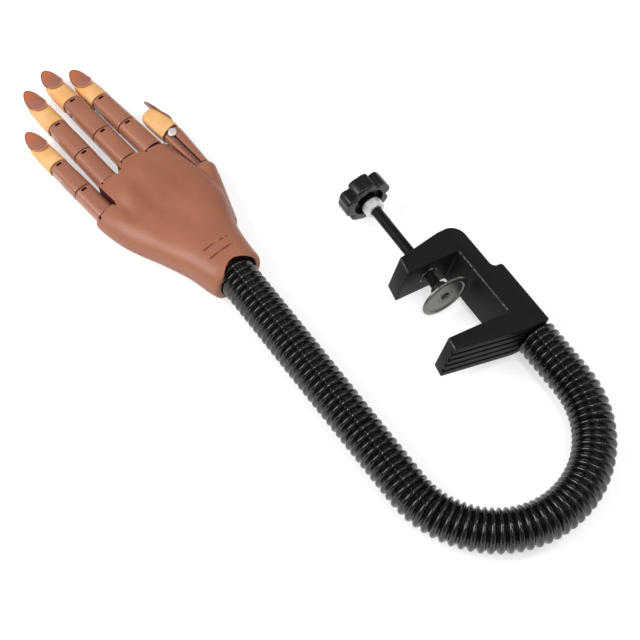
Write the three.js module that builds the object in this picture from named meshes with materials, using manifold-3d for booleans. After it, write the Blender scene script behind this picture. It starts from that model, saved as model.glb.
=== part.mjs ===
import * as THREE from 'three';
import { mergeVertices } from 'three/addons/utils/BufferGeometryUtils.js';
import Module from 'manifold-3d';

// Nail practice hand on a bendable hose with a screw clamp. Millimetres, +Z up.
const wasm = await Module();
wasm.setup();

const GAP = 0.3;
const RAD = Math.PI / 180;

// Clamp, in its own frame: screw along y, spine towards +x
const CLAMP_POSITION = [71.0, -47.0];
const CLAMP_YAW = -3;
const CLAMP_ROLL = 16;
const CLAMP_WIDTH = 31;
const CLAMP_BEVEL = 0.9;
const BLOCK_X = 47;
const BLOCK_Y = -54.3;
const SPINE_IN = 21.2;
const SPINE_OUT = 36.8;
const SCREW_JAW_Y = 18.5;
const FIXED_JAW_Y = -37;
const FIXED_JAW_TIP_Y = -47;
const FIXED_JAW_HEEL_X = 24;
const JAW_TIP_X = -35;
const CORNER_RADIUS = 15;
const GROOVES = 4;
const GROOVE_WIDTH = 2.2;
const GROOVE_DEPTH = 1.6;
const GROOVE_PITCH = 6.2;

// Screw and what sits on it
const SCREW_RADIUS = 4;
const SCREW_HOLE = 4.35;
const SCREW_START = 9.2;
const SCREW_END = 99;
const NUT_AF = 13;
const NUT_HEIGHT = 6.2;
const SPIGOT_RADIUS = 2.6;
const DISC_RADIUS = 18.5;
const LOCK_NUT_Y = 85.8;
const KNOB_Y = 91.8;
const KNOB_LENGTH = 12.5;
const KNOB_RADIUS = 19;
const KNOB_LOBES = 5;
const KNOB_RECESS = 11;

// Arm: gooseneck core inside a ribbed hose
const HOSE_X = 38.5;
const HOSE_RADIUS = 14.75;
const HOSE_VALLEY = 13.1;
const HOSE_BORE = 11;
const HOSE_SIDES = 8;
const ARM_SECTIONS = 6;
const RIBS_PER_SECTION = 14;
const BEND_CENTRE = [35, -140];
const CORE_RADIUS = 3.2;
const BALL_RADIUS = 5.4;
const CUP_INSIDE = 6;
const CUP_OUTSIDE = 8;
const CUP_LIP = 1;
const PLUG_RADIUS = 7.7;
const FLANGE_RADIUS = 10;
const SOCKET_DEPTH = 6;
const SOCKET_RADIUS = 6;
const SOCKET_LENGTH = 30;
const SOCKET_PIN_RADIUS = 2;
const SOCKET_PIN_FROM_END = 18;
const SOCKET_PIN_REACH = 9.5;

// Hand, in its own frame: fingers along y, thumb on +x, back of the hand up
const HAND_POSITION = [-29.5, 53.0];
const HAND_YAW = 5;
const HOSE_END_X = -2.2;
const PARTING_Z = 16;
const BEYOND = 400;
const PIN_RADIUS = 1.5;
const PIN_HOLE = PIN_RADIUS + GAP;
const PIN_SIDES = 8;
const PIN_SHORT = 0.5;
const JOINT_GAP = 0.4;
const TONGUE = 4.4;
const SLOT = TONGUE + 2 * GAP;
const SHELL = 3;
const FINGER_SLOPES = [4, 5, 6];

// Palm stations: y, left, right, top, bottom
const PALM = [
  [0, -22.3, 18.6, 33.2, 0],
  [8, -23.6, 20.3, 34.2, 0],
  [25, -26.6, 24, 34, 0.4],
  [38, -31, 28.4, 33.2, 1],
  [50, -35.6, 33, 32.4, 1.5],
  [62, -41.4, 35.6, 31.6, 2],
  [75, -46, 36.2, 30.8, 2.2],
  [95, -49, 34, 29.6, 2.6],
  [112, -48, 32, 27.6, 3],
  [131, -46, 30.6, 24.4, 3.4],
];
const THENAR_FROM = [24, 44, 13];
const THENAR_TO = [39.4, 90, 13];
const THENAR_RADIUS = 9.2;

// Fingers: pin x, lean, joint lines at y, nail end, nail length seen, half width and half height
const FINGERS = {
  index: { x: 20.9, lean: 0, lines: [125.8, 159.5, 193.3], end: 232.7, nail: 19.5, half: [7.6, 7.2] },
  middle: { x: -0.9, lean: 1.4, lines: [129.5, 165.2, 205.7], end: 247, nail: 19.5, half: [7.7, 7.3] },
  ring: { x: -22.2, lean: 1.9, lines: [123.2, 158.5, 194.5], end: 240, nail: 22.5, half: [7.5, 7.2] },
  little: { x: -39.9, lean: 0, lines: [101.1, 131.3, 163.1], end: 205.9, nail: 20.5, half: [7, 6.6] },
};
const FINGER_TAPER = [1, 0.985, 0.93];
const STRIP_EDGES = {
  index: [10.4, 60],
  middle: [-11.2, 10.4],
  ring: [-30.8, -11.2],
  little: [-80, -30.8],
};
const NAIL_WIDTH = 10.6;
const NAIL_THICKNESS = 0.9;
const NAIL_CURVE = 6.6;
const NAIL_ROOT = 4;
const NAIL_OVERHANG = 9;

// Thumb: hinges whose pins stand nearly upright
const THUMB_X = 41;
const THUMB_Z = 13;
const THUMB_LINE = 92;
const THUMB_PIN = 128.2;
const THUMB_TIP_LENGTH = 40.3;
const THUMB_ROLL = 12;
const THUMB_HALF = [7.7, 6.5];
const THUMB_JOINT = 3.9;

function material(color, roughness, metalness) {
  return new THREE.MeshStandardMaterial({ color, roughness, metalness });
}
const BROWN = [0xb07056, 0.42, 0];
const CREAM = [0xf0be7d, 0.45, 0];
const NAIL = [0xbe694b, 0.2, 0];
const BLACK_METAL = [0x1c1c1c, 0.4, 0.1];
const BLACK_RUBBER = [0x141414, 0.3, 0];
const STEEL = [0x8f8f8a, 0.35, 0.9];
const ZINC = [0xd8d8d4, 0.35, 0.8];

const part = new THREE.Group();
const assembly = new THREE.Group();
part.add(assembly);

// Solid body from a closed surface
function toSolid(geometry) {
  const source = geometry.clone();
  source.deleteAttribute('normal');
  source.deleteAttribute('uv');
  const merged = mergeVertices(source, 1e-4);
  const corner = merged.index.array;
  const triangles = [];
  for (let i = 0; i < corner.length; i += 3) {
    const [a, b, c] = [corner[i], corner[i + 1], corner[i + 2]];
    if (a !== b && b !== c && c !== a) triangles.push(a, b, c);
  }
  return new wasm.Manifold(new wasm.Mesh({
    numProp: 3,
    vertProperties: new Float32Array(merged.attributes.position.array),
    triVerts: new Uint32Array(triangles),
  }));
}

function toGeometry(solid) {
  const mesh = solid.getMesh();
  const geometry = new THREE.BufferGeometry();
  geometry.setAttribute('position', new THREE.BufferAttribute(new Float32Array(mesh.vertProperties), 3));
  geometry.setIndex(Array.from(mesh.triVerts));
  return geometry;
}

function addMesh(parent, name, solid, look) {
  const geometry = solid.isBufferGeometry ? solid : toGeometry(solid);
  geometry.computeVertexNormals();
  const mesh = new THREE.Mesh(geometry, material(...look));
  mesh.name = name;
  parent.add(mesh);
  return mesh;
}

function addGroup(parent, x, y, z) {
  const group = new THREE.Group();
  group.position.set(x, y, z);
  parent.add(group);
  return group;
}

// Surface through rings of equal length, closed by flat ends
function loftGeometry(rings) {
  const count = rings[0].length;
  const positions = rings.flat().flatMap((p) => [p.x, p.y, p.z]);
  const index = [];
  for (let k = 0; k < rings.length - 1; k++) {
    for (let i = 0; i < count; i++) {
      const j = (i + 1) % count;
      const [a, b] = [k * count + i, k * count + j];
      index.push(a, b, b + count, a, b + count, a + count);
    }
  }
  const last = (rings.length - 1) * count;
  for (let i = 1; i < count - 1; i++) {
    index.push(0, i + 1, i);
    index.push(last, last + i, last + i + 1);
  }
  const geometry = new THREE.BufferGeometry();
  geometry.setAttribute('position', new THREE.Float32BufferAttribute(positions, 3));
  let volume = 0;
  const [a, b, c] = [new THREE.Vector3(), new THREE.Vector3(), new THREE.Vector3()];
  for (let i = 0; i < index.length; i += 3) {
    a.fromArray(positions, index[i] * 3);
    b.fromArray(positions, index[i + 1] * 3);
    c.fromArray(positions, index[i + 2] * 3);
    volume += a.dot(b.cross(c));
  }
  if (volume < 0) {
    for (let i = 0; i < index.length; i += 3) {
      [index[i + 1], index[i + 2]] = [index[i + 2], index[i + 1]];
    }
  }
  geometry.setIndex(index);
  return geometry;
}

const loft = (rings) => toSolid(loftGeometry(rings));

// Rounded-box ring in a plane of constant y
function roundRing(y, x, z, halfX, halfZ, sides, power) {
  const ring = [];
  for (let i = 0; i < sides; i++) {
    const angle = (i / sides) * 2 * Math.PI;
    const [c, s] = [Math.cos(angle), Math.sin(angle)];
    const px = Math.sign(c) * Math.abs(c) ** (2 / power) * halfX;
    const pz = Math.sign(s) * Math.abs(s) ** (2 / power) * halfZ;
    ring.push(new THREE.Vector3(x + px, y, z + pz));
  }
  return ring;
}

function box(x0, x1, y0, y1, z0, z1) {
  const geometry = new THREE.BoxGeometry(x1 - x0, y1 - y0, z1 - z0);
  geometry.translate((x0 + x1) / 2, (y0 + y1) / 2, (z0 + z1) / 2);
  return toSolid(geometry);
}

// Round bar between two points
function bar(from, to, radius, sides = 16, radiusEnd = radius) {
  const a = new THREE.Vector3(...from);
  const b = new THREE.Vector3(...to);
  const geometry = new THREE.CylinderGeometry(radiusEnd, radius, a.distanceTo(b), sides);
  const turn = new THREE.Quaternion().setFromUnitVectors(
    new THREE.Vector3(0, 1, 0), b.clone().sub(a).normalize());
  geometry.applyQuaternion(turn);
  geometry.translate((a.x + b.x) / 2, (a.y + b.y) / 2, (a.z + b.z) / 2);
  return toSolid(geometry);
}

// Body turned about the y axis from [radius, y] pairs
function turned(profile, sides = 24) {
  const points = profile.map(([r, y]) => new THREE.Vector2(r, y));
  return toSolid(new THREE.LatheGeometry(points, sides));
}

function ball(centre, radius, sides = 12) {
  const geometry = new THREE.SphereGeometry(radius, sides, Math.ceil(sides / 2));
  geometry.translate(...centre);
  return toSolid(geometry);
}

function hexPrism(acrossFlats, y0, y1) {
  const corner = acrossFlats / Math.sqrt(3);
  const geometry = new THREE.CylinderGeometry(corner, corner, y1 - y0, 6);
  geometry.translate(0, (y0 + y1) / 2, 0);
  return toSolid(geometry);
}

// Shape in the x-y plane given thickness along z
function plate(shape, z0, z1, bevel = 0) {
  const geometry = new THREE.ExtrudeGeometry(shape, {
    depth: z1 - z0 - 2 * bevel,
    bevelEnabled: bevel > 0,
    bevelThickness: bevel,
    bevelSize: bevel,
    bevelOffset: -bevel,
    bevelSegments: 1,
    curveSegments: 4,
  });
  geometry.translate(0, 0, z0 + bevel);
  return toSolid(geometry);
}

const join = (first, ...rest) => rest.reduce((sum, next) => sum.add(next), first);
const moved = (solid, matrix) => {
  const geometry = toGeometry(solid);
  geometry.applyMatrix4(matrix);
  return toSolid(geometry);
};

// Clamp frame and its nut
const roll = CLAMP_ROLL * RAD;
const clampHeight = (BLOCK_X - CLAMP_BEVEL) * Math.sin(roll) + (CLAMP_WIDTH / 2) * Math.cos(roll);
const clamp = addGroup(assembly, ...CLAMP_POSITION, clampHeight);
clamp.rotation.set(0, roll, CLAMP_YAW * RAD, 'ZYX');
clamp.updateMatrixWorld(true);

const half = CLAMP_WIDTH / 2;
const outline = new THREE.Shape();
outline.moveTo(-25, SCREW_JAW_Y + 1.2);
outline.lineTo(-22.5, 31);
outline.lineTo(20, 40.1);
outline.quadraticCurveTo(SPINE_OUT - 1, 42.4, SPINE_OUT, 40.1 - CORNER_RADIUS);
outline.lineTo(SPINE_OUT, 4);
outline.quadraticCurveTo(SPINE_OUT, -2, 42, -2);
outline.lineTo(BLOCK_X - 2, -2);
outline.lineTo(BLOCK_X, -5);
outline.lineTo(BLOCK_X, BLOCK_Y);
outline.lineTo(FIXED_JAW_HEEL_X, BLOCK_Y);
outline.lineTo(JAW_TIP_X - 1, FIXED_JAW_TIP_Y);
outline.lineTo(JAW_TIP_X, FIXED_JAW_Y);
outline.lineTo(SPINE_IN - 4, FIXED_JAW_Y);
outline.quadraticCurveTo(SPINE_IN, FIXED_JAW_Y, SPINE_IN, FIXED_JAW_Y + 4);
outline.lineTo(SPINE_IN, SCREW_JAW_Y - 4);
outline.quadraticCurveTo(SPINE_IN, SCREW_JAW_Y, SPINE_IN - 4, SCREW_JAW_Y);
outline.lineTo(-23, SCREW_JAW_Y);
let clampBody = plate(outline, -half, half, CLAMP_BEVEL);

clampBody = clampBody.subtract(bar([0, SCREW_JAW_Y - 5, 0], [0, 48, 0], SCREW_HOLE, 20));
const pocketFloor = SCREW_JAW_Y + NUT_HEIGHT + GAP;
clampBody = clampBody.subtract(hexPrism(NUT_AF + 2 * GAP, SCREW_JAW_Y - 3, pocketFloor));
const plugEnd = BLOCK_Y + SOCKET_LENGTH;
const socketBore = bar([HOSE_X, BLOCK_Y - 5, 0], [HOSE_X, plugEnd + GAP, 0], SOCKET_RADIUS + GAP, 20);
clampBody = clampBody.subtract(socketBore);
const pinY = BLOCK_Y + SOCKET_PIN_FROM_END;
const pinTop = SOCKET_PIN_REACH;
const pinBore = bar([HOSE_X, pinY, -half - 2], [HOSE_X, pinY, pinTop + GAP], SOCKET_PIN_RADIUS + GAP, 12);
clampBody = clampBody.subtract(pinBore);
for (let i = 0; i < GROOVES; i++) {
  const z = (i - (GROOVES - 1) / 2) * GROOVE_PITCH;
  const [run, rise] = [JAW_TIP_X - 1 - FIXED_JAW_HEEL_X, FIXED_JAW_TIP_Y - BLOCK_Y];
  const slant = Math.atan2(rise, run);
  const length = Math.hypot(rise, run) + 6;
  const groove = new THREE.BoxGeometry(length, 2 * GROOVE_DEPTH, GROOVE_WIDTH);
  groove.rotateZ(slant);
  groove.translate(FIXED_JAW_HEEL_X + run / 2 - 3, BLOCK_Y + rise / 2, z);
  clampBody = clampBody.subtract(toSolid(groove));
}
addMesh(clamp, 'clamp_frame', clampBody, BLACK_METAL);

const nutTop = pocketFloor - GAP;
const jawNut = hexPrism(NUT_AF, nutTop - NUT_HEIGHT, nutTop);
addMesh(clamp, 'jaw_nut', jawNut.subtract(bar([0, 0, 0], [0, 40, 0], SCREW_HOLE, 20)), ZINC);

// Screw, knob and pressure disc
const screwBody = turned([
  [0, -1.5], [3.7, -1.5], [3.7, -0.7], [SPIGOT_RADIUS, -0.7], [SPIGOT_RADIUS, SCREW_START],
  [SCREW_RADIUS - 1, SCREW_START], [SCREW_RADIUS, SCREW_START + 1], [SCREW_RADIUS, SCREW_END - 1],
  [SCREW_RADIUS - 1, SCREW_END], [0, SCREW_END],
], 16);
addMesh(clamp, 'clamp_screw', screwBody, BLACK_METAL);
addMesh(clamp, 'disc_retainer', turned([
  [SPIGOT_RADIUS + GAP, -0.4], [5.4, -0.4], [5.4, 0.7],
  [SPIGOT_RADIUS + GAP, 0.7], [SPIGOT_RADIUS + GAP, -0.4],
], 16), STEEL);
addMesh(clamp, 'pressure_disc', turned([
  [SPIGOT_RADIUS + GAP, 1], [6.2, 1], [7, -0.7], [14.6, -0.9],
  [15.4, -1.6], [17.6, -1.6], [DISC_RADIUS, -0.9],
  [DISC_RADIUS, 0.2], [9, 1.2], [6.6, 3], [5.8, SCREW_START - 0.5 - GAP],
  [SPIGOT_RADIUS + GAP, SCREW_START - 0.5 - GAP], [SPIGOT_RADIUS + GAP, 1],
], 24), STEEL);

const knobShape = new THREE.Shape();
for (let i = 0; i <= 40; i++) {
  const angle = (i / 40) * 2 * Math.PI;
  const phase = Math.cos(KNOB_LOBES * angle);
  const radius = KNOB_RADIUS - 3.4 * Math.max(0, -phase) ** 1.5;
  const point = [radius * Math.cos(angle), radius * Math.sin(angle)];
  if (i === 0) knobShape.moveTo(...point);
  else knobShape.lineTo(...point);
}
const knobTurn = new THREE.Matrix4().makeRotationX(-Math.PI / 2);
let knob = moved(plate(knobShape, 0, KNOB_LENGTH, 1.2), knobTurn);
knob = moved(knob, new THREE.Matrix4().makeTranslation(0, KNOB_Y, 0));
knob = knob.subtract(bar([0, KNOB_Y - 3, 0], [0, SCREW_END + GAP, 0], SCREW_RADIUS + GAP, 16));
knob = knob.subtract(turned([
  [0, KNOB_Y - 1], [KNOB_RECESS, KNOB_Y - 1], [KNOB_RECESS - 1.5, KNOB_Y + 1.2], [0, KNOB_Y + 1.2],
], 16));
addMesh(clamp, 'star_knob', knob, BLACK_METAL);
const lockNut = hexPrism(NUT_AF, LOCK_NUT_Y - 3.5, KNOB_Y + 1.2 - GAP);
const lockNutHole = bar([0, LOCK_NUT_Y - 20, 0], [0, KNOB_Y + 20, 0], SCREW_RADIUS + GAP, 16);
addMesh(clamp, 'lock_nut', lockNut.subtract(lockNutHole), ZINC);

// Centre line of the hose: straight, round the bend, straight into the wrist
const hoseStart = clamp.localToWorld(new THREE.Vector3(HOSE_X, BLOCK_Y - GAP, 0));
const hoseHeading = clamp.localToWorld(new THREE.Vector3(HOSE_X, BLOCK_Y - 1 - GAP, 0));
hoseHeading.sub(hoseStart).normalize();
const hoseZ = hoseStart.z;
const handTurn = new THREE.Matrix4().makeRotationZ(HAND_YAW * RAD);
handTurn.setPosition(...HAND_POSITION, 0);
const wristPoint = new THREE.Vector3(HOSE_END_X, 0, 0).applyMatrix4(handTurn);
const bendCentre = new THREE.Vector3(...BEND_CENTRE, hoseZ);
const flat = (v) => Math.hypot(v.x, v.y);
const toCentre = bendCentre.clone().sub(hoseStart);
const runIn = toCentre.x * hoseHeading.x + toCentre.y * hoseHeading.y;
const bendRadius = Math.abs(toCentre.x * hoseHeading.y - toCentre.y * hoseHeading.x);
const startAngle = Math.atan2(hoseHeading.y, hoseHeading.x);
const fromWrist = bendCentre.clone().sub(wristPoint);
const runOut = Math.sqrt(flat(fromWrist) ** 2 - bendRadius ** 2);
const backAngle = Math.atan2(fromWrist.y, fromWrist.x) - Math.atan2(bendRadius, runOut);
const endAngle = backAngle - Math.PI;
const bendTurn = startAngle - endAngle;
const bendLength = bendTurn * bendRadius;
const hoseLength = runIn + bendLength + runOut + SOCKET_DEPTH;

// Position and heading at a distance along the hose
function along(s) {
  const turnedBy = Math.min(Math.max((s - runIn) / bendRadius, 0), bendTurn);
  const heading = startAngle - turnedBy;
  const direction = new THREE.Vector3(Math.cos(heading), Math.sin(heading), 0);
  const point = new THREE.Vector3();
  if (s < runIn) {
    point.copy(hoseStart).addScaledVector(direction, s);
  } else {
    const normal = new THREE.Vector3(-direction.y, direction.x, 0);
    point.copy(bendCentre).addScaledVector(normal, bendRadius);
    if (s > runIn + bendLength) point.addScaledVector(direction, s - runIn - bendLength);
  }
  point.z = hoseZ;
  return { point, direction, side: new THREE.Vector3(direction.y, -direction.x, 0) };
}

function hoseRing(s, radius, sides) {
  const { point, side } = along(s);
  const ring = [];
  for (let i = 0; i < sides; i++) {
    const angle = (i / sides) * 2 * Math.PI;
    const spot = point.clone().addScaledVector(side, Math.cos(angle) * radius);
    spot.z += Math.sin(angle) * radius;
    ring.push(spot);
  }
  return ring;
}

// Arm: hose sections, then the gooseneck core inside them
const sectionLength = hoseLength / ARM_SECTIONS;
const ribPitch = (sectionLength - GAP) / RIBS_PER_SECTION;
for (let k = 0; k < ARM_SECTIONS; k++) {
  const start = k * sectionLength;
  const rings = [];
  for (let i = 0; i < RIBS_PER_SECTION; i++) {
    rings.push(hoseRing(start + i * ribPitch, HOSE_VALLEY, HOSE_SIDES));
    rings.push(hoseRing(start + (i + 0.5) * ribPitch, HOSE_RADIUS, HOSE_SIDES));
  }
  rings.push(hoseRing(start + RIBS_PER_SECTION * ribPitch, HOSE_VALLEY, HOSE_SIDES));
  for (let i = RIBS_PER_SECTION; i > 0; i -= 5) {
    rings.push(hoseRing(start + i * ribPitch, HOSE_BORE, HOSE_SIDES));
  }
  rings.push(hoseRing(start, HOSE_BORE, HOSE_SIDES));
  const positions = rings.flat().flatMap((p) => [p.x, p.y, p.z]);
  const index = [];
  for (let r = 0; r < rings.length; r++) {
    const next = (r + 1) % rings.length;
    for (let i = 0; i < HOSE_SIDES; i++) {
      const j = (i + 1) % HOSE_SIDES;
      const [here, there] = [r * HOSE_SIDES, next * HOSE_SIDES];
      const [a, b, c, d] = [here + i, here + j, there + j, there + i];
      index.push(a, c, b, a, d, c);
    }
  }
  const geometry = new THREE.BufferGeometry();
  geometry.setAttribute('position', new THREE.Float32BufferAttribute(positions, 3));
  geometry.setIndex(index);
  addMesh(assembly, `hose_section_${k + 1}`, geometry, BLACK_RUBBER);
}

const jointAt = (k) => (k - 0.5) * sectionLength;

function rodAlong(from, to, radius) {
  const steps = Math.max(1, Math.round((to - from) / 12));
  const rings = [];
  for (let i = 0; i <= steps; i++) rings.push(hoseRing(from + ((to - from) * i) / steps, radius, 8));
  return loft(rings);
}

// Cup around the ball at a joint, open towards the clamp
function cupAt(s) {
  const profile = [];
  for (let i = 0; i <= 3; i++) {
    const angle = Math.acos(CUP_LIP / CUP_INSIDE) * (1 - i / 3);
    profile.push([CUP_INSIDE * Math.sin(angle), CUP_INSIDE * Math.cos(angle)]);
  }
  profile[3][0] = 0;
  const [rim, end] = [CUP_OUTSIDE, CUP_OUTSIDE + 0.6];
  const back = [[0, end], [rim * 0.5, end], [rim, rim * 0.55]];
  const cup = turned([...profile, ...back, [CUP_OUTSIDE, CUP_LIP], profile[0]].reverse(), 10);
  const { point, direction } = along(s);
  const turn = new THREE.Quaternion().setFromUnitVectors(new THREE.Vector3(0, 1, 0), direction);
  return moved(cup, new THREE.Matrix4().compose(point, turn, new THREE.Vector3(1, 1, 1)));
}

const ballAt = (s) => ball(along(s).point.toArray(), BALL_RADIUS, 10);

for (let k = 1; k < ARM_SECTIONS; k++) {
  const rod = rodAlong(jointAt(k) + CUP_OUTSIDE - 0.6, jointAt(k + 1), CORE_RADIUS);
  addMesh(assembly, `core_link_${k}`, join(rod, cupAt(jointAt(k)), ballAt(jointAt(k + 1))), STEEL);
}

const clampPoint = (x, y, z) => clamp.localToWorld(new THREE.Vector3(x, y, z)).toArray();
const socketTop = clampPoint(HOSE_X, plugEnd, 0);
let armSocket = bar(socketTop, clampPoint(HOSE_X, BLOCK_Y - 1, 0), SOCKET_RADIUS, 16);
armSocket = armSocket.add(rodAlong(-2, jointAt(1), CORE_RADIUS)).add(ballAt(jointAt(1)));
const holeEnds = [-1, 1].map((side) => clampPoint(HOSE_X, pinY, side * 1.5 * SOCKET_RADIUS));
const socketHole = bar(...holeEnds, SOCKET_PIN_RADIUS + GAP, 12);
addMesh(assembly, 'arm_socket', armSocket.subtract(socketHole), STEEL);
const socketPin = bar([HOSE_X, pinY, -half + 1], [HOSE_X, pinY, pinTop], SOCKET_PIN_RADIUS, 12);
addMesh(clamp, 'socket_pin', socketPin, STEEL);

// Hand: two shells round the wrist plug, with a seat for each finger
const hand = addGroup(assembly, ...HAND_POSITION, 0);
hand.rotation.z = HAND_YAW * RAD;
hand.updateMatrixWorld(true);
const toHand = hand.matrixWorld.clone().invert();

// Everything a joint needs cut from the piece that carries its pin
function jointCut(radius, jointRadius, dimension) {
  const { halfX, below = radius + 1, reach = radius + 1, relief } = dimension;
  const { left = -halfX - 1, right = halfX + 1 } = dimension;
  const tongue = jointRadius - 2.2;
  let corner = box(left, right, 0, reach, -below, 0);
  corner = corner.subtract(bar([left - 1, 0, 0], [right + 1, 0, 0], jointRadius, 20));
  let cut = join(corner, box(left, right, jointRadius, reach, -below, radius + 40));
  if (relief) cut = cut.add(box(left, right, -jointRadius - 1.3, reach, -below, -jointRadius - 0.3));
  cut = cut.add(bar([-SLOT / 2, 0, 0], [SLOT / 2, 0, 0], tongue + 0.5, 12));
  cut = cut.add(box(-SLOT / 2, SLOT / 2, -tongue - 0.5, reach, -below, 0));
  cut = cut.add(box(-SLOT / 2, SLOT / 2, 0, reach, -1, 2.9));
  cut = cut.add(bar([-halfX - 1, 0, 0], [halfX + 1, 0, 0], PIN_HOLE, PIN_SIDES));
  return cut.add(box(-1.65, 1.65, jointRadius - 2.1, jointRadius - 0.6, 1, radius + 40));
}

// Disc and web that enter the slot of the piece before
function tongueOf(radius, jointRadius) {
  const disc = bar([-TONGUE / 2, 0, 0], [TONGUE / 2, 0, 0], jointRadius - 2.2, 12);
  return disc.add(box(-TONGUE / 2, TONGUE / 2, 0, jointRadius + 2, -2.6, 2.6));
}

const crossPin = (reach) => bar([-reach, 0, 0], [reach, 0, 0], PIN_RADIUS, PIN_SIDES);
const tongueHole = () => bar([-TONGUE, 0, 0], [TONGUE, 0, 0], PIN_HOLE, PIN_SIDES);

const palmRing = (y, left, right, top, bottom) => roundRing(
  y, (left + right) / 2, (top + bottom) / 2, (right - left) / 2, (top - bottom) / 2, 20, 2.5);
let palm = loft(PALM.map((station) => palmRing(...station)));
const thenar = bar(THENAR_FROM, THENAR_TO, THENAR_RADIUS, 12).add(ball(THENAR_FROM, THENAR_RADIUS))
  .add(ball(THENAR_TO, THENAR_RADIUS));
palm = palm.add(thenar);
const outer = palm;
const hollow = PALM.filter(([y]) => y > 30 && y < 80).map(([y, left, right, top, bottom]) => {
  return palmRing(y, left + SHELL, right - SHELL, top - SHELL, bottom + SHELL);
});
palm = palm.subtract(loft(hollow));
const bosses = [[-6, 52], [-22, 67]];
for (const [x, y] of bosses) palm = palm.add(bar([x, y, -5], [x, y, 50], 4.6, 12).intersect(outer));

// Hose socket and plug seat, along the line in which the hose comes in
const inHand = (s) => along(s).point.applyMatrix4(toHand);
function handBar(from, to, radius, sides) {
  return bar(inHand(from).toArray(), inHand(to).toArray(), radius, sides);
}
const plugFrom = hoseLength + 1.5;
const plugTo = plugFrom + 24;
palm = palm.subtract(handBar(hoseLength - 20, hoseLength + GAP, HOSE_RADIUS + 0.35, 24));
palm = palm.subtract(handBar(hoseLength - 2, plugTo, PLUG_RADIUS + GAP, 16));
palm = palm.subtract(handBar(plugTo - 4 - GAP, plugTo + GAP, FLANGE_RADIUS + GAP, 16));

const fingerGroups = {};
for (const [name, finger] of Object.entries(FINGERS)) {
  const radius = finger.half[1];
  const pin = finger.lines[0] - radius - JOINT_GAP / 2;
  const base = addGroup(hand, finger.x, pin, PARTING_Z);
  base.rotation.z = -finger.lean * RAD;
  base.updateMatrix();
  fingerGroups[name] = base;
  const [left, right] = STRIP_EDGES[name];
  const cut = jointCut(radius, radius, {
    halfX: finger.half[0],
    left: left - finger.x - GAP,
    right: right - finger.x + GAP,
    below: 30,
    reach: 60,
    relief: true,
  });
  palm = palm.subtract(moved(cut, base.matrix));
  addMesh(base, `${name}_knuckle_pin`, crossPin(finger.half[0] - PIN_SHORT), STEEL);
}

// Thumb base: seat for a hinge that swings away from the fingers
const thumbPin = THUMB_LINE - THUMB_HALF[1] - JOINT_GAP / 2;
const thumb = addGroup(hand, THUMB_X, thumbPin, THUMB_Z);
thumb.rotation.set(0, (90 - THUMB_ROLL) * RAD, 0);
thumb.updateMatrix();
const mirror = new THREE.Matrix4().makeScale(1, 1, -1);
const flipped = (solid) => {
  const geometry = toGeometry(solid);
  geometry.applyMatrix4(mirror);
  const corner = geometry.index.array;
  for (let i = 0; i < corner.length; i += 3) {
    [corner[i + 1], corner[i + 2]] = [corner[i + 2], corner[i + 1]];
  }
  return toSolid(geometry);
};
const seatSize = { halfX: 30, left: -11.5, right: 11.5, below: 12, reach: 14 };
let seat = jointCut(THUMB_HALF[1], THUMB_HALF[1], seatSize);
seat = seat.subtract(box(-30, 30, -1, 60, THUMB_HALF[1] + 0.8, 80));
seat = seat.add(box(-11.5, 11.5, THUMB_HALF[1], 60, -12, THUMB_HALF[1] + 0.8));
palm = palm.subtract(moved(flipped(seat), thumb.matrix));

for (const [x, y] of bosses) {
  palm = palm.subtract(bar([x, y, -2], [x, y, 5 + GAP], 3 + GAP, 12));
  palm = palm.subtract(bar([x, y, 0], [x, y, 24 + GAP], PIN_HOLE, PIN_SIDES));
}
const upper = box(-BEYOND, BEYOND, -BEYOND, BEYOND, PARTING_Z + GAP / 2, BEYOND);
const lower = box(-BEYOND, BEYOND, -BEYOND, BEYOND, -BEYOND, PARTING_Z - GAP / 2);
addMesh(hand, 'back_shell', palm.intersect(upper), BROWN);
addMesh(hand, 'palm_shell', palm.intersect(lower), BROWN);
bosses.forEach(([x, y], i) => {
  const screw = bar([x, y, 3], [x, y, 5], 3, 12).add(bar([x, y, 4], [x, y, 24], PIN_RADIUS, PIN_SIDES));
  addMesh(hand, `shell_screw_${i + 1}`, screw, STEEL);
});

let wristPlug = handBar(plugFrom, plugTo - 2, PLUG_RADIUS, 16);
wristPlug = wristPlug.add(handBar(plugTo - 4, plugTo, FLANGE_RADIUS, 16));
let wristCore = rodAlong(jointAt(ARM_SECTIONS) + CUP_OUTSIDE - 0.6, plugFrom + 2, CORE_RADIUS);
wristCore = moved(wristCore.add(cupAt(jointAt(ARM_SECTIONS))), toHand);
addMesh(hand, 'wrist_plug', wristPlug.add(wristCore), STEEL);

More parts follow.
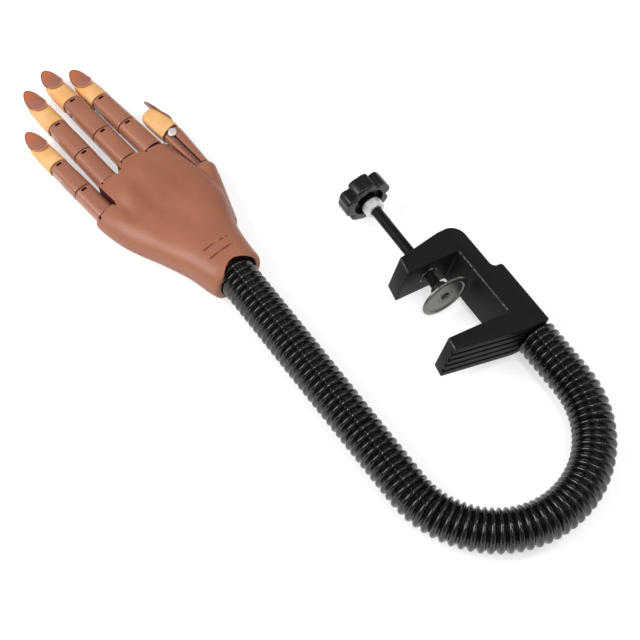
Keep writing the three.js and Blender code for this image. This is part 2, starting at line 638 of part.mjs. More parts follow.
// Nail: a curved plate with an oval outline, in the frame of a finger tip
function nailParts(cuticle, end, top, width) {
  const footprint = (grow, extend) => {
    const shape = new THREE.Shape();
    const [halfWidth, root] = [width / 2 + grow, cuticle - NAIL_ROOT - grow];
    const steps = 5;
    shape.moveTo(halfWidth, cuticle);
    if (extend) {
      shape.lineTo(halfWidth, end + 20);
      shape.lineTo(-halfWidth, end + 20);
      shape.lineTo(-halfWidth, cuticle);
    } else {
      shape.lineTo(halfWidth, cuticle + 4);
      for (let i = 1; i < 2 * steps; i++) {
        const angle = (i / (2 * steps)) * Math.PI;
        const reach = Math.sin(angle) ** 0.9 * (end - cuticle - 4);
        shape.lineTo(Math.cos(angle) * halfWidth, cuticle + 4 + reach);
      }
      shape.lineTo(-halfWidth, cuticle + 4);
      shape.lineTo(-halfWidth, cuticle);
    }
    for (let i = 1; i < steps; i++) {
      const angle = Math.PI * (1 + i / steps);
      shape.lineTo(Math.cos(angle) * halfWidth, cuticle + Math.sin(angle) * (cuticle - root));
    }
    return plate(shape, top - 8, top + 8);
  };
  const centre = top - NAIL_CURVE;
  const round = (radius) => bar([0, -10, centre], [0, end + 30, centre], radius, 20);
  const nail = round(NAIL_CURVE).subtract(round(NAIL_CURVE - NAIL_THICKNESS)).intersect(footprint(0, false))
    .intersect(box(-20, 20, -20, end + 30, centre + 0.5, top + 5));
  const groove = round(NAIL_CURVE + GAP).subtract(round(NAIL_CURVE - NAIL_THICKNESS - GAP));
  const space = footprint(GAP, true).intersect(box(-20, 20, -20, end + 40, centre + 0.2, top + 9));
  const ahead = box(-20, 20, cuticle, end + 40, -20, 20);
  const open = space.subtract(round(NAIL_CURVE - NAIL_THICKNESS - GAP)).intersect(ahead);
  return { nail, cut: groove.intersect(space).add(open) };
}

// One limb piece from its own pin to the next pin
function limb(halfX, halfZ, stations) {
  return loft(stations.map(([y, scaleX, scaleZ, z = 0]) => {
    return roundRing(y, 0, z, halfX * scaleX, halfZ * scaleZ, 16, 2.4);
  }));
}

for (const [name, finger] of Object.entries(FINGERS)) {
  const [halfX, halfZ] = finger.half;
  const radii = FINGER_TAPER.map((t) => halfZ * t);
  const pins = finger.lines.map((line, i) => line - radii[i] - JOINT_GAP / 2);
  let frame = fingerGroups[name];
  frame = addGroup(frame, 0, 0, 0);
  frame.rotation.x = -FINGER_SLOPES[0] * RAD;
  const titles = ['proximal', 'middle'];
  for (let i = 0; i < 2; i++) {
    const length = pins[i + 1] - pins[i];
    const from = radii[i] + JOINT_GAP;
    const [t0, t1] = [FINGER_TAPER[i], FINGER_TAPER[i + 1]];
    let body = limb(halfX, halfZ, [
      [from, t0, t0],
      [length - 2, t1, t1],
      [length + radii[i + 1], t1, t1],
    ]);
    body = body.add(tongueOf(halfZ, radii[i])).subtract(tongueHole());
    const cut = jointCut(radii[i + 1], radii[i + 1], { halfX: halfX });
    body = body.subtract(moved(cut, new THREE.Matrix4().makeTranslation(0, length, 0)));
    addMesh(frame, `${name}_${titles[i]}`, body, BROWN);
    const next = addGroup(frame, 0, length, 0);
    const pinName = i === 0 ? 'inner' : 'outer';
    addMesh(next, `${name}_${pinName}_pin`, crossPin(halfX * t1 - PIN_SHORT), STEEL);
    frame = addGroup(next, 0, 0, 0);
    frame.rotation.x = -(FINGER_SLOPES[i + 1] - FINGER_SLOPES[i]) * RAD;
  }
  const end = finger.end - pins[2];
  const cuticle = end - finger.nail;
  const from = radii[2] + JOINT_GAP;
  const tipEnd = end - NAIL_OVERHANG;
  const t = FINGER_TAPER[2];
  const top = halfZ * t * 0.92;
  let tip = limb(halfX, halfZ, [
    [from, t, t],
    [from + 8, t * 0.99, t * 0.98],
    [cuticle, t * 0.96, t * 0.92],
    [tipEnd - 5, t * 0.88, t * 0.78, 0.3],
    [tipEnd - 1.4, t * 0.68, t * 0.56, 0.6],
    [tipEnd, t * 0.4, t * 0.34, 0.8],
  ]);
  tip = tip.add(tongueOf(halfZ, radii[2])).subtract(tongueHole());
  const { nail, cut } = nailParts(cuticle, end, top - 0.25, NAIL_WIDTH * (halfX / 7.7));
  addMesh(frame, `${name}_tip`, tip.subtract(cut), CREAM);
  addMesh(frame, `${name}_nail`, nail, NAIL);
}

// Thumb
{
  const [halfX, halfZ] = THUMB_HALF;
  const length = THUMB_PIN - thumbPin;
  const from = halfZ + JOINT_GAP;
  let body = limb(halfX, halfZ, [
    [from, 1, 1],
    [length * 0.5, 1, 1.02, -0.2],
    [length - 2, 1, 1.12, -1],
    [length + THUMB_JOINT, 1, 1.08, -1],
  ]);
  body = body.add(flipped(tongueOf(halfZ, halfZ))).subtract(tongueHole());
  const wedge = (angle) => {
    const place = new THREE.Matrix4().makeTranslation(0, length, 0);
    place.multiply(new THREE.Matrix4().makeRotationX(angle * RAD));
    return moved(box(-12, 12, THUMB_JOINT, 20, -20, 20), place);
  };
  body = body.subtract(wedge(-9)).subtract(wedge(21));
  body = body.subtract(box(-SLOT / 2, SLOT / 2, length - THUMB_JOINT, length + 10, -10, 10));
  body = body.subtract(bar([-12, length, 0], [12, length, 0], PIN_HOLE, PIN_SIDES));
  addMesh(thumb, 'thumb_proximal', body, BROWN);
  const pinHalf = halfX + 0.3;
  const tipPin = bar([-pinHalf, 0, 0], [halfX - 0.5, 0, 0], PIN_RADIUS, PIN_SIDES)
    .add(bar([-pinHalf - 1, 0, 0], [-pinHalf, 0, 0], 3.45, 16));
  const joint = addGroup(thumb, 0, length, 0);
  addMesh(joint, 'thumb_tip_pin', tipPin, ZINC);
  const end = THUMB_TIP_LENGTH;
  const cuticle = end - 25;
  const start = THUMB_JOINT + JOINT_GAP;
  let tip = limb(halfX, halfZ, [
    [start, 1, 1.08, -1],
    [start + 5, 1, 1.02, -0.6],
    [cuticle + 4, 0.96, 0.95, -0.3],
    [end - NAIL_OVERHANG - 6, 0.86, 0.8, 0.2],
    [end - NAIL_OVERHANG - 1.6, 0.66, 0.58, 0.6],
    [end - NAIL_OVERHANG, 0.4, 0.36, 0.8],
  ]);
  const disc = bar([-TONGUE / 2, 0, 0], [TONGUE / 2, 0, 0], THUMB_JOINT - 0.5, 16);
  tip = tip.add(disc).add(box(-TONGUE / 2, TONGUE / 2, 0, start + 2, -3, 3)).subtract(tongueHole());
  const { nail, cut } = nailParts(cuticle, end, halfZ * 0.9, NAIL_WIDTH + 1);
  addMesh(joint, 'thumb_tip', tip.subtract(cut), CREAM);
  addMesh(joint, 'thumb_nail', nail, NAIL);
  addMesh(thumb, 'thumb_base_pin', crossPin(halfX - PIN_SHORT), STEEL);
}

// Origin at the middle of the underside
assembly.updateMatrixWorld(true);
const bounds = new THREE.Box3().setFromObject(assembly, true);
const middle = bounds.getCenter(new THREE.Vector3());
assembly.position.set(-middle.x, -middle.y, -bounds.min.z);
part.updateMatrixWorld(true);

export default part;
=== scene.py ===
import math

import bmesh
import bpy
from mathutils import Matrix, Vector
from mathutils.bvhtree import BVHTree


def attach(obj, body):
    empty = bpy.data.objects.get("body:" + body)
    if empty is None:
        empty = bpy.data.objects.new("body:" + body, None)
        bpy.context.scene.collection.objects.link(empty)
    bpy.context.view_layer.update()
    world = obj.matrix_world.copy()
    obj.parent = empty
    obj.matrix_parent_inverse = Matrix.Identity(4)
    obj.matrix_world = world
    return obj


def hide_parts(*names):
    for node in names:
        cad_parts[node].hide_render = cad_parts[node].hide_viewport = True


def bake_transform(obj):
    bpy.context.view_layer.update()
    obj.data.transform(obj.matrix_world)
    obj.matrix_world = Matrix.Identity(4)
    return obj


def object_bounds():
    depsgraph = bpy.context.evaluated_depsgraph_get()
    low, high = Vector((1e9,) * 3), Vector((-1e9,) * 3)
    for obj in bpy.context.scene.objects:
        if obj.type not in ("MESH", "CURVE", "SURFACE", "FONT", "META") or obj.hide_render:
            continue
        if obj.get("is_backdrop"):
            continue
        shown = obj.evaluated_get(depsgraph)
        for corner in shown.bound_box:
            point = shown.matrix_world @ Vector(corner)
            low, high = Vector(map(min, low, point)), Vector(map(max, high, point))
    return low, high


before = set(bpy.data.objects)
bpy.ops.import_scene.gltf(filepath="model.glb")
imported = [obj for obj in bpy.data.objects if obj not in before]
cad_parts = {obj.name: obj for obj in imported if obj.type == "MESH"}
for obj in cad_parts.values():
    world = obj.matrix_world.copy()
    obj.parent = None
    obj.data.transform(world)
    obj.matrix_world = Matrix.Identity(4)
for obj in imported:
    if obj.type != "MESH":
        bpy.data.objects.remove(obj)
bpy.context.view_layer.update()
scene = bpy.context.scene


# Camera: high in front and to the left, as a shop takes a picture of a set laid on a table.
# It aims at the middle of the object's footprint.
AZIMUTH = math.radians(-36.1)
ELEVATION = math.radians(61)
DISTANCE = 0.884
TARGET = Vector((-0.014113, -0.038263, 0))
back = Vector((
    math.sin(AZIMUTH) * math.cos(ELEVATION),
    -math.cos(AZIMUTH) * math.cos(ELEVATION),
    math.sin(ELEVATION),
))
camera = bpy.data.objects.new("camera", bpy.data.cameras.new("camera"))
camera.data.lens = 71.0
camera.data.sensor_width = 36
camera.data.clip_start = 0.01
camera.location = TARGET + back * DISTANCE
camera.rotation_mode = "QUATERNION"
camera.rotation_quaternion = (-back).to_track_quat("-Z", "Y")
scene.collection.objects.link(camera)
scene.camera = camera
scene.view_settings.view_transform = "Standard"


# Light: a dim pale room, one broad soft box on the left and two strips, which leave
# the double streaks on the hose.
picture_right = Vector((math.cos(AZIMUTH), math.sin(AZIMUTH), 0))
picture_up = picture_right.cross(-back)


def soft_box(name, right, up, near, width, height, power):
    lamp = bpy.data.lights.new(name, "AREA")
    lamp.shape = "RECTANGLE"
    lamp.size = width
    lamp.size_y = height
    lamp.energy = power
    holder = bpy.data.objects.new(name, lamp)
    direction = picture_right * right + picture_up * up + back * near
    holder.location = TARGET + direction
    holder.rotation_mode = "QUATERNION"
    holder.rotation_quaternion = (-direction).to_track_quat("-Z", "Y")
    scene.collection.objects.link(holder)


soft_box("left_box", -1.15, 0.35, 1.0, 0.8, 0.9, 14.5)
soft_box("near_strip", 0.25, 0.3, 1.35, 0.1, 1.1, 4.4)
soft_box("far_strip", 0.75, 0.65, 1.0, 0.1, 1.1, 3.2)


# Floor: a plain white table under the set. It is drawn near white for the eye and for
# reflections, and keeps the object's soft shadow.
class Value:
    """A number that changes over a surface; sums and products add their Math nodes."""

    def __init__(self, finish, socket):
        self.finish = finish
        self.socket = socket

    def joined(self, operation, first, second):
        made = self.finish.node("ShaderNodeMath", {"operation": operation}, {0: first, 1: second})
        return Value(self.finish, made.outputs[0])

    def __add__(self, other):
        return self.joined("ADD", self, other)

    def __rsub__(self, other):
        return self.joined("SUBTRACT", other, self)

    def __mul__(self, other):
        return self.joined("MULTIPLY", self, other)

    __radd__ = __add__
    __rmul__ = __mul__


class Finish:
    """The node tree of one material, or of the room."""

    def __init__(self, name, owner=None):
        self.material = owner or bpy.data.materials.new(name)
        self.material.use_nodes = True
        self.tree = self.material.node_tree
        self.tree.nodes.clear()

    def node(self, kind, settings=None, inputs=None):
        made = self.tree.nodes.new(kind)
        for key, value in (settings or {}).items():
            setattr(made, key, value)
        for key, value in (inputs or {}).items():
            if isinstance(value, Value):
                self.tree.links.new(value.socket, made.inputs[key])
            else:
                made.inputs[key].default_value = value
        return made

    def value(self, kind, output=0, settings=None, inputs=None):
        return Value(self, self.node(kind, settings, inputs).outputs[output])

    def mixed(self, factor, first, second):
        inputs = {0: factor, 6: first, 7: second}
        return self.value("ShaderNodeMix", 2, {"data_type": "RGBA"}, inputs)

    def between(self, value, low, high):
        """Smooth step from 0 at the low value to 1 at the high one."""
        settings = {"interpolation_type": "SMOOTHSTEP"}
        return self.value("ShaderNodeMapRange", 0, settings, {0: value, 1: low, 2: high})


def rgb(red, green, blue):
    """Colour as it shows on a screen, 0 to 255, as Blender's linear colour."""
    shares = [c / 255 for c in (red, green, blue)]
    linear = [s / 12.92 if s <= 0.04045 else ((s + 0.055) / 1.055) ** 2.4 for s in shares]
    return (*linear, 1.0)


def grey(level):
    return (level, level, level, 1)


FLOOR_HALF = 3.0
FLOOR_DROP = 0.0002
FLOOR_GREY = 0.76
# The paper's drawn tone: this grey under the object, white from the second distance on
FLOOR_GLOW = 0.56
GLOW_NEAR = 0.45
GLOW_FAR = 0.95
ROOM_GREY = 0.27
ROOM_MIRRORED = 0.05
bm = bmesh.new()
bmesh.ops.create_grid(bm, x_segments=1, y_segments=1, size=FLOOR_HALF)
bmesh.ops.translate(bm, verts=bm.verts, vec=(0, 0, -FLOOR_DROP))
floor_mesh = bpy.data.meshes.new("floor")
bm.to_mesh(floor_mesh)
bm.free()
floor = bpy.data.objects.new("floor", floor_mesh)
scene.collection.objects.link(floor)
floor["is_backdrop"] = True

floor_finish = Finish("floor_paper")
rays = floor_finish.node("ShaderNodeLightPath")
seen, mirrored, through = (
    Value(floor_finish, rays.outputs[f"Is {kind} Ray"])
    for kind in ("Camera", "Glossy", "Transmission"))
seen = seen + mirrored + through
place = floor_finish.value("ShaderNodeTexCoord", "Object")
distance = floor_finish.value(
    "ShaderNodeVectorMath", "Value", {"operation": "LENGTH"}, {0: place})
glow = floor_finish.mixed(
    floor_finish.between(distance, GLOW_NEAR, GLOW_FAR), grey(FLOOR_GLOW), grey(1))
surface = floor_finish.node("ShaderNodeBsdfPrincipled", None, {
    "Base Color": grey(FLOOR_GREY),
    "Roughness": 0.9,
    "Specular IOR Level": 0.0,
    "Emission Color": floor_finish.mixed(seen, grey(0), glow),
    "Emission Strength": 1.0,
})
out = floor_finish.node("ShaderNodeOutputMaterial")
floor_finish.tree.links.new(surface.outputs[0], out.inputs[0])
floor_mesh.materials.append(floor_finish.material)

room = bpy.data.worlds.new("room")
scene.world = room
sky = Finish("room", room)
rays = sky.node("ShaderNodeLightPath")
direct, mirrored, through = (
    Value(sky, rays.outputs[f"Is {kind} Ray"]) for kind in ("Camera", "Glossy", "Transmission"))
share = direct + (mirrored + through) * ROOM_MIRRORED
ambient = sky.node("ShaderNodeBackground", None, {
    "Color": sky.mixed(share, grey(ROOM_GREY), grey(1)),
    "Strength": 1.0,
})
out = sky.node("ShaderNodeOutputWorld")
sky.tree.links.new(ambient.outputs[0], out.inputs[0])


# Clamp frame: one iron casting under satin black paint, with a screw jaw, a spine, a
# block for the arm and a fixed jaw, grooved outside. A few top edges are lighter: worn paint with a
# painted highlight.
def rotation(degrees, axis):
    return Matrix.Rotation(math.radians(degrees), 4, axis)


MM = 0.001
CLAMP = (
    Matrix.Scale(MM, 4)
    @ Matrix.Translation((56.88736, -85.26297, 27.60644))
    @ rotation(-3, "Z")
    @ rotation(16, "Y")
)
HALF_WIDTH = 15.5
# Corners of the side view: x, y, rounding
FRAME_CORNERS = [
    (-24.4, 18.2, 0), (-21.6, 31.6, 0.8), (20.6, 40.3, 6), (36.8, 39.9, 10), (36.8, -1.4, 4),
    (45.3, -1.4, 2.2), (45.3, -54.3, 0), (24, -54.3, 0), (-33.6, -46.8, 0), (-31.8, -36.9, 0),
    (21.8, -36.9, 1.6), (21.8, 20.1, 1.6),
]
EDGE_ROUNDING = 0.9
# The top edges of the spine's inner face and of the jaws' tips are lighter: worn paint with a
# painted highlight where light catches them
SPINE_INSIDE = 21.8
JAW_TIPS = -22
WORN_AND_HIGHLIT_ABOVE = 14
NUT_POCKET_FLATS = 13.6
# The arm's plug goes into the block at this x, held by a cross pin
PLUG_X = 38.5
PLUG_HOLE = 6.3
SOCKET_PIN_Y = -36.3
SOCKET_PIN_HOLE = 2.3
GROOVES = 4
GROOVES_MIDDLE = (-12, -49.6)
GROOVE_SLANT = math.atan2(7.5, -57.6)
GROOVE_PITCH = 6.2
GROOVE_WIDTH = 2.3
GROOVE_DEPTH = 1.7
GROOVE_EDGE = 0.7
SCREW_HOLE = 4.35
PAINT_BLACK = rgb(15, 15, 16)
PAINT_WORN_AND_HIGHLIT = rgb(92, 91, 88)


def solid(bm, name="shape"):
    """Working object from a bmesh, in millimetres."""
    mesh = bpy.data.meshes.new(name)
    bmesh.ops.recalc_face_normals(bm, faces=bm.faces)
    bm.to_mesh(mesh)
    bm.free()
    made = bpy.data.objects.new(name, mesh)
    scene.collection.objects.link(made)
    return made


def settle(made):
    """Applies the object's modifiers to its mesh."""
    graph = bpy.context.evaluated_depsgraph_get()
    mesh = bpy.data.meshes.new_from_object(made.evaluated_get(graph))
    old = made.data
    made.modifiers.clear()
    made.data = mesh
    bpy.data.meshes.remove(old)
    return made


def carve(made, tool, operation="DIFFERENCE", keep_tool=False):
    modifier = made.modifiers.new("carve", "BOOLEAN")
    modifier.solver = "MANIFOLD"
    modifier.operation = operation
    modifier.object = tool
    settle(made)
    if not keep_tool:
        bpy.data.objects.remove(tool)
    return made


def cut(made, bm):
    return carve(made, solid(bm))


def add(made, bm):
    return carve(made, solid(bm), "UNION")


def bevelled(bm, geom, offset, segments, affect="EDGES", clamp_overlap=False):
    return bmesh.ops.bevel(
        bm, geom=geom, offset=offset, offset_type="OFFSET", segments=segments, profile=0.5,
        affect=affect, material=-1, clamp_overlap=clamp_overlap)


def raised(bm, rise):
    """Pulls a flat outline up into a body."""
    pulled = bmesh.ops.extrude_face_region(bm, geom=bm.faces[:])
    top = [v for v in pulled["geom"] if isinstance(v, bmesh.types.BMVert)]
    bmesh.ops.translate(bm, verts=top, vec=rise)


def block(low, high):
    bm = bmesh.new()
    bmesh.ops.create_cube(bm, size=1)
    bmesh.ops.translate(bm, verts=bm.verts, vec=(0.5, 0.5, 0.5))
    bmesh.ops.scale(bm, verts=bm.verts, vec=[b - a for a, b in zip(low, high)])
    bmesh.ops.translate(bm, verts=bm.verts, vec=low)
    return bm


def rod(start, end, radius, segments=32):
    start, end = Vector(start), Vector(end)
    bm = bmesh.new()
    bmesh.ops.create_cone(
        bm, cap_ends=True, segments=segments, radius1=radius, radius2=radius,
        depth=(end - start).length)
    turn = (end - start).to_track_quat("Z", "Y").to_matrix().to_4x4()
    bmesh.ops.transform(bm, matrix=Matrix.Translation((start + end) / 2) @ turn, verts=bm.verts)
    return bm


def turned(profile, segments=64):
    """Solid turned about the y axis from (radius, y) points."""
    bm = bmesh.new()
    points = [bm.verts.new((r, y, 0)) for r, y in profile]
    edges = [bm.edges.new(pair) for pair in zip(points, points[1:])]
    if profile[0][0] > 0:
        edges.append(bm.edges.new((points[-1], points[0])))
    bmesh.ops.spin(
        bm, geom=points + edges, cent=(0, 0, 0), axis=(0, 1, 0), angle=2 * math.pi,
        steps=segments, use_merge=True)
    bmesh.ops.remove_doubles(bm, verts=bm.verts, dist=1e-4)
    return bm


def dressed(name, made, place, finishes, crease):
    """Gives a working object or bmesh its name, place and finish."""
    if not isinstance(made, bpy.types.Object):
        made = solid(made, name)
    made.name = name
    made.data.name = name
    made.data.transform(place)
    wanted = [finish.material for finish in finishes]
    if made.data.materials[:len(wanted)] != wanted:
        made.data.materials.clear()
        for material in wanted:
            made.data.materials.append(material)
    made.data.shade_smooth()
    made.data.set_sharp_from_angle(angle=math.radians(crease))
    return made


def piece(name, made, place, finishes, body, nodes=(), crease=35):
    made = dressed(name, made, place, finishes, crease)
    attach(made, body)
    if nodes:
        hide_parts(*nodes)


def noise(finish, scale, detail=3, stretch=(1, 1, 1)):
    """Cloudy value from 0 to 1; scale is in features a metre."""
    place = finish.value("ShaderNodeTexCoord", "Object")
    if stretch != (1, 1, 1):
        place = finish.value("ShaderNodeMapping", 0, None, {0: place, "Scale": stretch})
    return finish.value("ShaderNodeTexNoise", "Fac", None, {
        "Vector": place, "Scale": scale, "Detail": detail})


def stored(finish, name):
    return finish.value("ShaderNodeAttribute", "Fac", {"attribute_name": name})


def surface_of(finish, color, roughness, heights, metallic=0.0, **fixed):
    """Ends a finish: colour and roughness may vary; heights are (value, strength, depth)."""
    normal = None
    for height, strength, depth in heights:
        inputs = {"Height": height, "Strength": strength, "Distance": depth}
        if normal is not None:
            inputs["Normal"] = normal
        normal = finish.value("ShaderNodeBump", 0, None, inputs)
    inputs = {"Base Color": color, "Roughness": roughness, "Metallic": metallic}
    if normal is not None:
        inputs["Normal"] = normal
    for key, value in fixed.items():
        inputs[key.replace("_", " ").title().replace("Ior", "IOR")] = value
    shader = finish.node("ShaderNodeBsdfPrincipled", None, inputs)
    end = finish.node("ShaderNodeOutputMaterial")
    finish.tree.links.new(shader.outputs[0], end.inputs[0])
    return finish


def clouded(name, cloud, colors, roughness, grain, strength, depth, **fixed):
    """Finish between two colours, with a fine grain; roughness is its least and its spread."""
    finish = Finish(name)
    cloud = noise(finish, *cloud)
    return surface_of(
        finish, finish.mixed(cloud, *colors), roughness[0] + roughness[1] * cloud,
        [(noise(finish, *grain), strength, depth)], **fixed)


paint = Finish("satin_black_paint")
cloud = noise(paint, 60, 4)
grain = noise(paint, 1500, 2)
surface_of(
    paint,
    paint.mixed(cloud, PAINT_BLACK, rgb(21, 21, 22)),
    0.46 + 0.14 * cloud + 0.06 * grain,
    [(grain, 0.22, 0.00008), (noise(paint, 220, 3), 0.2, 0.0002)],
    specular_ior_level=0.22,
)
worn_and_highlit_paint = Finish("worn_and_highlit_black_paint")
wear_and_highlight_mask = worn_and_highlit_paint.between(noise(worn_and_highlit_paint, 700, 5), 0.44, 0.6)
surface_of(
    worn_and_highlit_paint,
    worn_and_highlit_paint.mixed(wear_and_highlight_mask, PAINT_BLACK, PAINT_WORN_AND_HIGHLIT),
    0.5 - 0.1 * wear_and_highlight_mask,
    [(noise(worn_and_highlit_paint, 900, 2), 0.3, 0.0001)],
    metallic=wear_and_highlight_mask * 0.3,
)

bm = bmesh.new()
corners = [bm.verts.new((x, y, -HALF_WIDTH)) for x, y, _ in FRAME_CORNERS]
bm.faces.new(corners)
for corner, (_, _, rounding) in zip(corners, FRAME_CORNERS):
    if rounding:
        bevelled(bm, [corner], rounding, 10, "VERTICES")
raised(bm, (0, 0, 2 * HALF_WIDTH))
bmesh.ops.recalc_face_normals(bm, faces=bm.faces)
flat_edges = [e for e in bm.edges if abs(e.verts[0].co.z - e.verts[1].co.z) < 0.1]
upright = [
    e for e in bm.edges
    if abs(e.verts[0].co.z - e.verts[1].co.z) > 1 and e.calc_face_angle(0) > math.radians(18)
]
rounded = bevelled(bm, flat_edges + upright, EDGE_ROUNDING, 3, clamp_overlap=True)
# Top edges facing the light get the lighter finish: worn paint with a painted highlight
for face in rounded["faces"]:
    middle = face.calc_center_median()
    along_spine = abs(middle.x - SPINE_INSIDE) < 1.2 and -36 < middle.y < 19
    if middle.z > WORN_AND_HIGHLIT_ABOVE and (along_spine or middle.x < JAW_TIPS):
        face.material_index = 1
clamp_frame = solid(bm)
clamp_frame.data.materials.append(paint.material)
clamp_frame.data.materials.append(worn_and_highlit_paint.material)
cut(clamp_frame, rod((0, 10, 0), (0, 50, 0), SCREW_HOLE, 48))
cut(clamp_frame, rod((0, 15, 0), (0, 25.1, 0), NUT_POCKET_FLATS / math.sqrt(3), 6))
cut(clamp_frame, rod((PLUG_X, -60, 0), (PLUG_X, -24, 0), PLUG_HOLE, 40))
pin_hole = rod((PLUG_X, SOCKET_PIN_Y, -18), (PLUG_X, SOCKET_PIN_Y, 9.8), SOCKET_PIN_HOLE, 24)
cut(clamp_frame, pin_hole)
for step in range(GROOVES):
    groove = block((-40, -GROOVE_DEPTH, -GROOVE_WIDTH / 2), (40, GROOVE_DEPTH, GROOVE_WIDTH / 2))
    bevelled(groove, groove.edges[:], GROOVE_EDGE, 3)
    middle = Matrix.Translation((*GROOVES_MIDDLE, (step - (GROOVES - 1) / 2) * GROOVE_PITCH))
    turn = Matrix.Rotation(GROOVE_SLANT, 4, "Z")
    bmesh.ops.transform(groove, matrix=middle @ turn, verts=groove.verts)
    cut(clamp_frame, groove)
materials = [paint, worn_and_highlit_paint]
piece("clamp_casting", clamp_frame, CLAMP, materials, "clamp", ["clamp_frame"], 28)


# Nuts: zinc-plated hexagon nuts with chamfered corners, one let into the screw jaw and
# one that locks the knob.
NUT_FLATS = 13
NUT_HOLE = 4.2
# Near and far face of each nut along the screw
JAW_NUT = (18.7, 24.8)
LOCK_NUT = (82.6, 90)
# The jaw nut gets painted glints at its corners beyond these distances from its middle, in metres
BRIGHT_FROM = 0.0066
BRIGHT_TO = 0.0072
ZINC = rgb(226, 227, 226)

zinc = clouded(
    "zinc_plate", (180, 4), (ZINC, rgb(246, 246, 245)), (0.3, 0.2), (1400, 2, (1, 1, 3)), 0.15,
    0.00006, metallic=0.55)


def hexagon_nut(low, high, hole):
    reach = NUT_FLATS / math.sqrt(3)
    nut = solid(rod((0, low, 0), (0, high, 0), reach, 6))
    shoulder = reach - NUT_FLATS / 2 + 0.25
    lens = turned([
        (0, low), (NUT_FLATS / 2 - 0.2, low), (reach + 0.05, low + shoulder * 0.6),
        (reach + 0.05, high - shoulder * 0.6), (NUT_FLATS / 2 - 0.2, high), (0, high),
    ])
    carve(nut, solid(lens), "INTERSECT")
    bore = turned([
        (0, low - 1), (hole + 1.4, low - 1), (hole, low + 0.5), (hole, high - 0.5),
        (hole + 1.4, high + 1), (0, high + 1),
    ])
    return cut(nut, bore)


def distance_from(finish, point):
    """Distance, in metres, from a point given in the clamp's millimetres."""
    place = finish.value("ShaderNodeTexCoord", "Object")
    offset = finish.value("ShaderNodeVectorMath", 0, {"operation": "SUBTRACT"}, {
        0: place, 1: tuple(CLAMP @ Vector(point))})
    return finish.value("ShaderNodeVectorMath", "Value", {"operation": "LENGTH"}, {0: offset})


# The jaw's zinc nut is coloured near black as painted shade in its pocket, with painted glints at
# its corners
nut_shade_and_glints = Finish("nut_painted_shade_and_glints")
reach = distance_from(nut_shade_and_glints, (0, 19, 0))
bright = nut_shade_and_glints.between(reach + 0.0004 * noise(nut_shade_and_glints, 500, 2), BRIGHT_FROM, BRIGHT_TO)
surface_of(
    nut_shade_and_glints,
    nut_shade_and_glints.mixed(bright, rgb(20, 20, 20), rgb(225, 224, 220)),
    0.5 - 0.15 * bright,
    [(noise(nut_shade_and_glints, 900, 2), 0.2, 0.0001)],
    metallic=bright * 0.6,
    specular_ior_level=0.25,
)
jaw_nut = hexagon_nut(*JAW_NUT, NUT_HOLE)
piece("jaw_nut_zinc", jaw_nut, CLAMP, [nut_shade_and_glints], "clamp", ["jaw_nut"])
lock_nut = hexagon_nut(*LOCK_NUT, NUT_HOLE)
piece("lock_nut_zinc", lock_nut, CLAMP, [zinc], "screw", ["lock_nut"])


# Clamp screw: a rolled M8 thread in black-oxide steel, with a turned spigot on which
# the pressure disc swivels. The spigot's end is slotted and peened over.
THREAD_RADIUS = 4.0
THREAD_ROOT = 3.4
THREAD_PITCH = 1.25
THREAD_FROM = 9.9
THREAD_TURNS = 70
STEPS_A_TURN = 28
# Spigot from its peened end to its shoulder: radius, y
SPIGOT_PROFILE = [
    (0, -1.5), (2.7, -1.5), (3.2, -1.3), (3.4, -0.95), (2.6, -0.9), (2.6, 9.2), (3.3, 9.2),
    (3.9, 10.1), (3.45, 10.5), (3.2, 11.6), (0, 11.6),
]

oxide = clouded(
    "black_oxide_steel", (240, 4), (rgb(20, 20, 21), rgb(40, 40, 40)), (0.34, 0.2), (1800, 2), 0.2,
    0.00005, metallic=0.35)
bm = bmesh.new()
tooth = [(THREAD_ROOT, 0), (THREAD_RADIUS, 0.44), (THREAD_RADIUS, 0.62), (THREAD_ROOT, 1.06),
         (THREAD_ROOT, THREAD_PITCH)]
points = [bm.verts.new((r, THREAD_FROM + y, 0)) for r, y in tooth]
edges = [bm.edges.new(pair) for pair in zip(points, points[1:])]
steps = STEPS_A_TURN * THREAD_TURNS
bmesh.ops.spin(
    bm, geom=points + edges, cent=(0, 0, 0), axis=(0, 1, 0),
    dvec=(0, THREAD_PITCH / STEPS_A_TURN, 0), angle=2 * math.pi * THREAD_TURNS, steps=steps)
bmesh.ops.remove_doubles(bm, verts=bm.verts, dist=0.002)
bmesh.ops.holes_fill(bm, edges=[e for e in bm.edges if e.is_boundary], sides=0)
screw = solid(bm)
slot_cut = block((-4, -2, -0.45), (4, -0.9, 0.45))
spigot = carve(solid(turned(SPIGOT_PROFILE)), solid(slot_cut))
piece("screw_thread", screw, CLAMP, [oxide], "screw", ["clamp_screw"], 50)
piece("screw_spigot", spigot, CLAMP, [oxide], "screw")


# Pressure disc: pressed and turned bright steel, dished, with a raised rim, riveted
# on the spigot so that it can swivel. A washer holds it there.
DISC_PROFILE = [
    (2.9, 1), (5.5, 1), (5.6, 0.5), (5.7, -0.8), (14.4, -0.9), (15.1, -1.25), (15.6, -1.6),
    (17.5, -1.6), (18.2, -1.35), (18.5, -0.8), (18.5, 0.0), (18.2, 0.3), (9.4, 1.25),
    (7.6, 1.9), (6.7, 3.2), (6.1, 5.5), (5.9, 7.9), (5.5, 8.4), (2.9, 8.4),
]
WASHER_PROFILE = [
    (2.85, -0.6), (3.1, -0.8), (5.2, -0.8), (5.4, -0.6), (5.4, 0.5), (5.1, 0.7), (2.85, 0.7),
]
# The neck's radius; it is black from this y on
NECK_RADIUS = 8
NECK_FROM = 2
DISC_FACE = rgb(104, 104, 98)

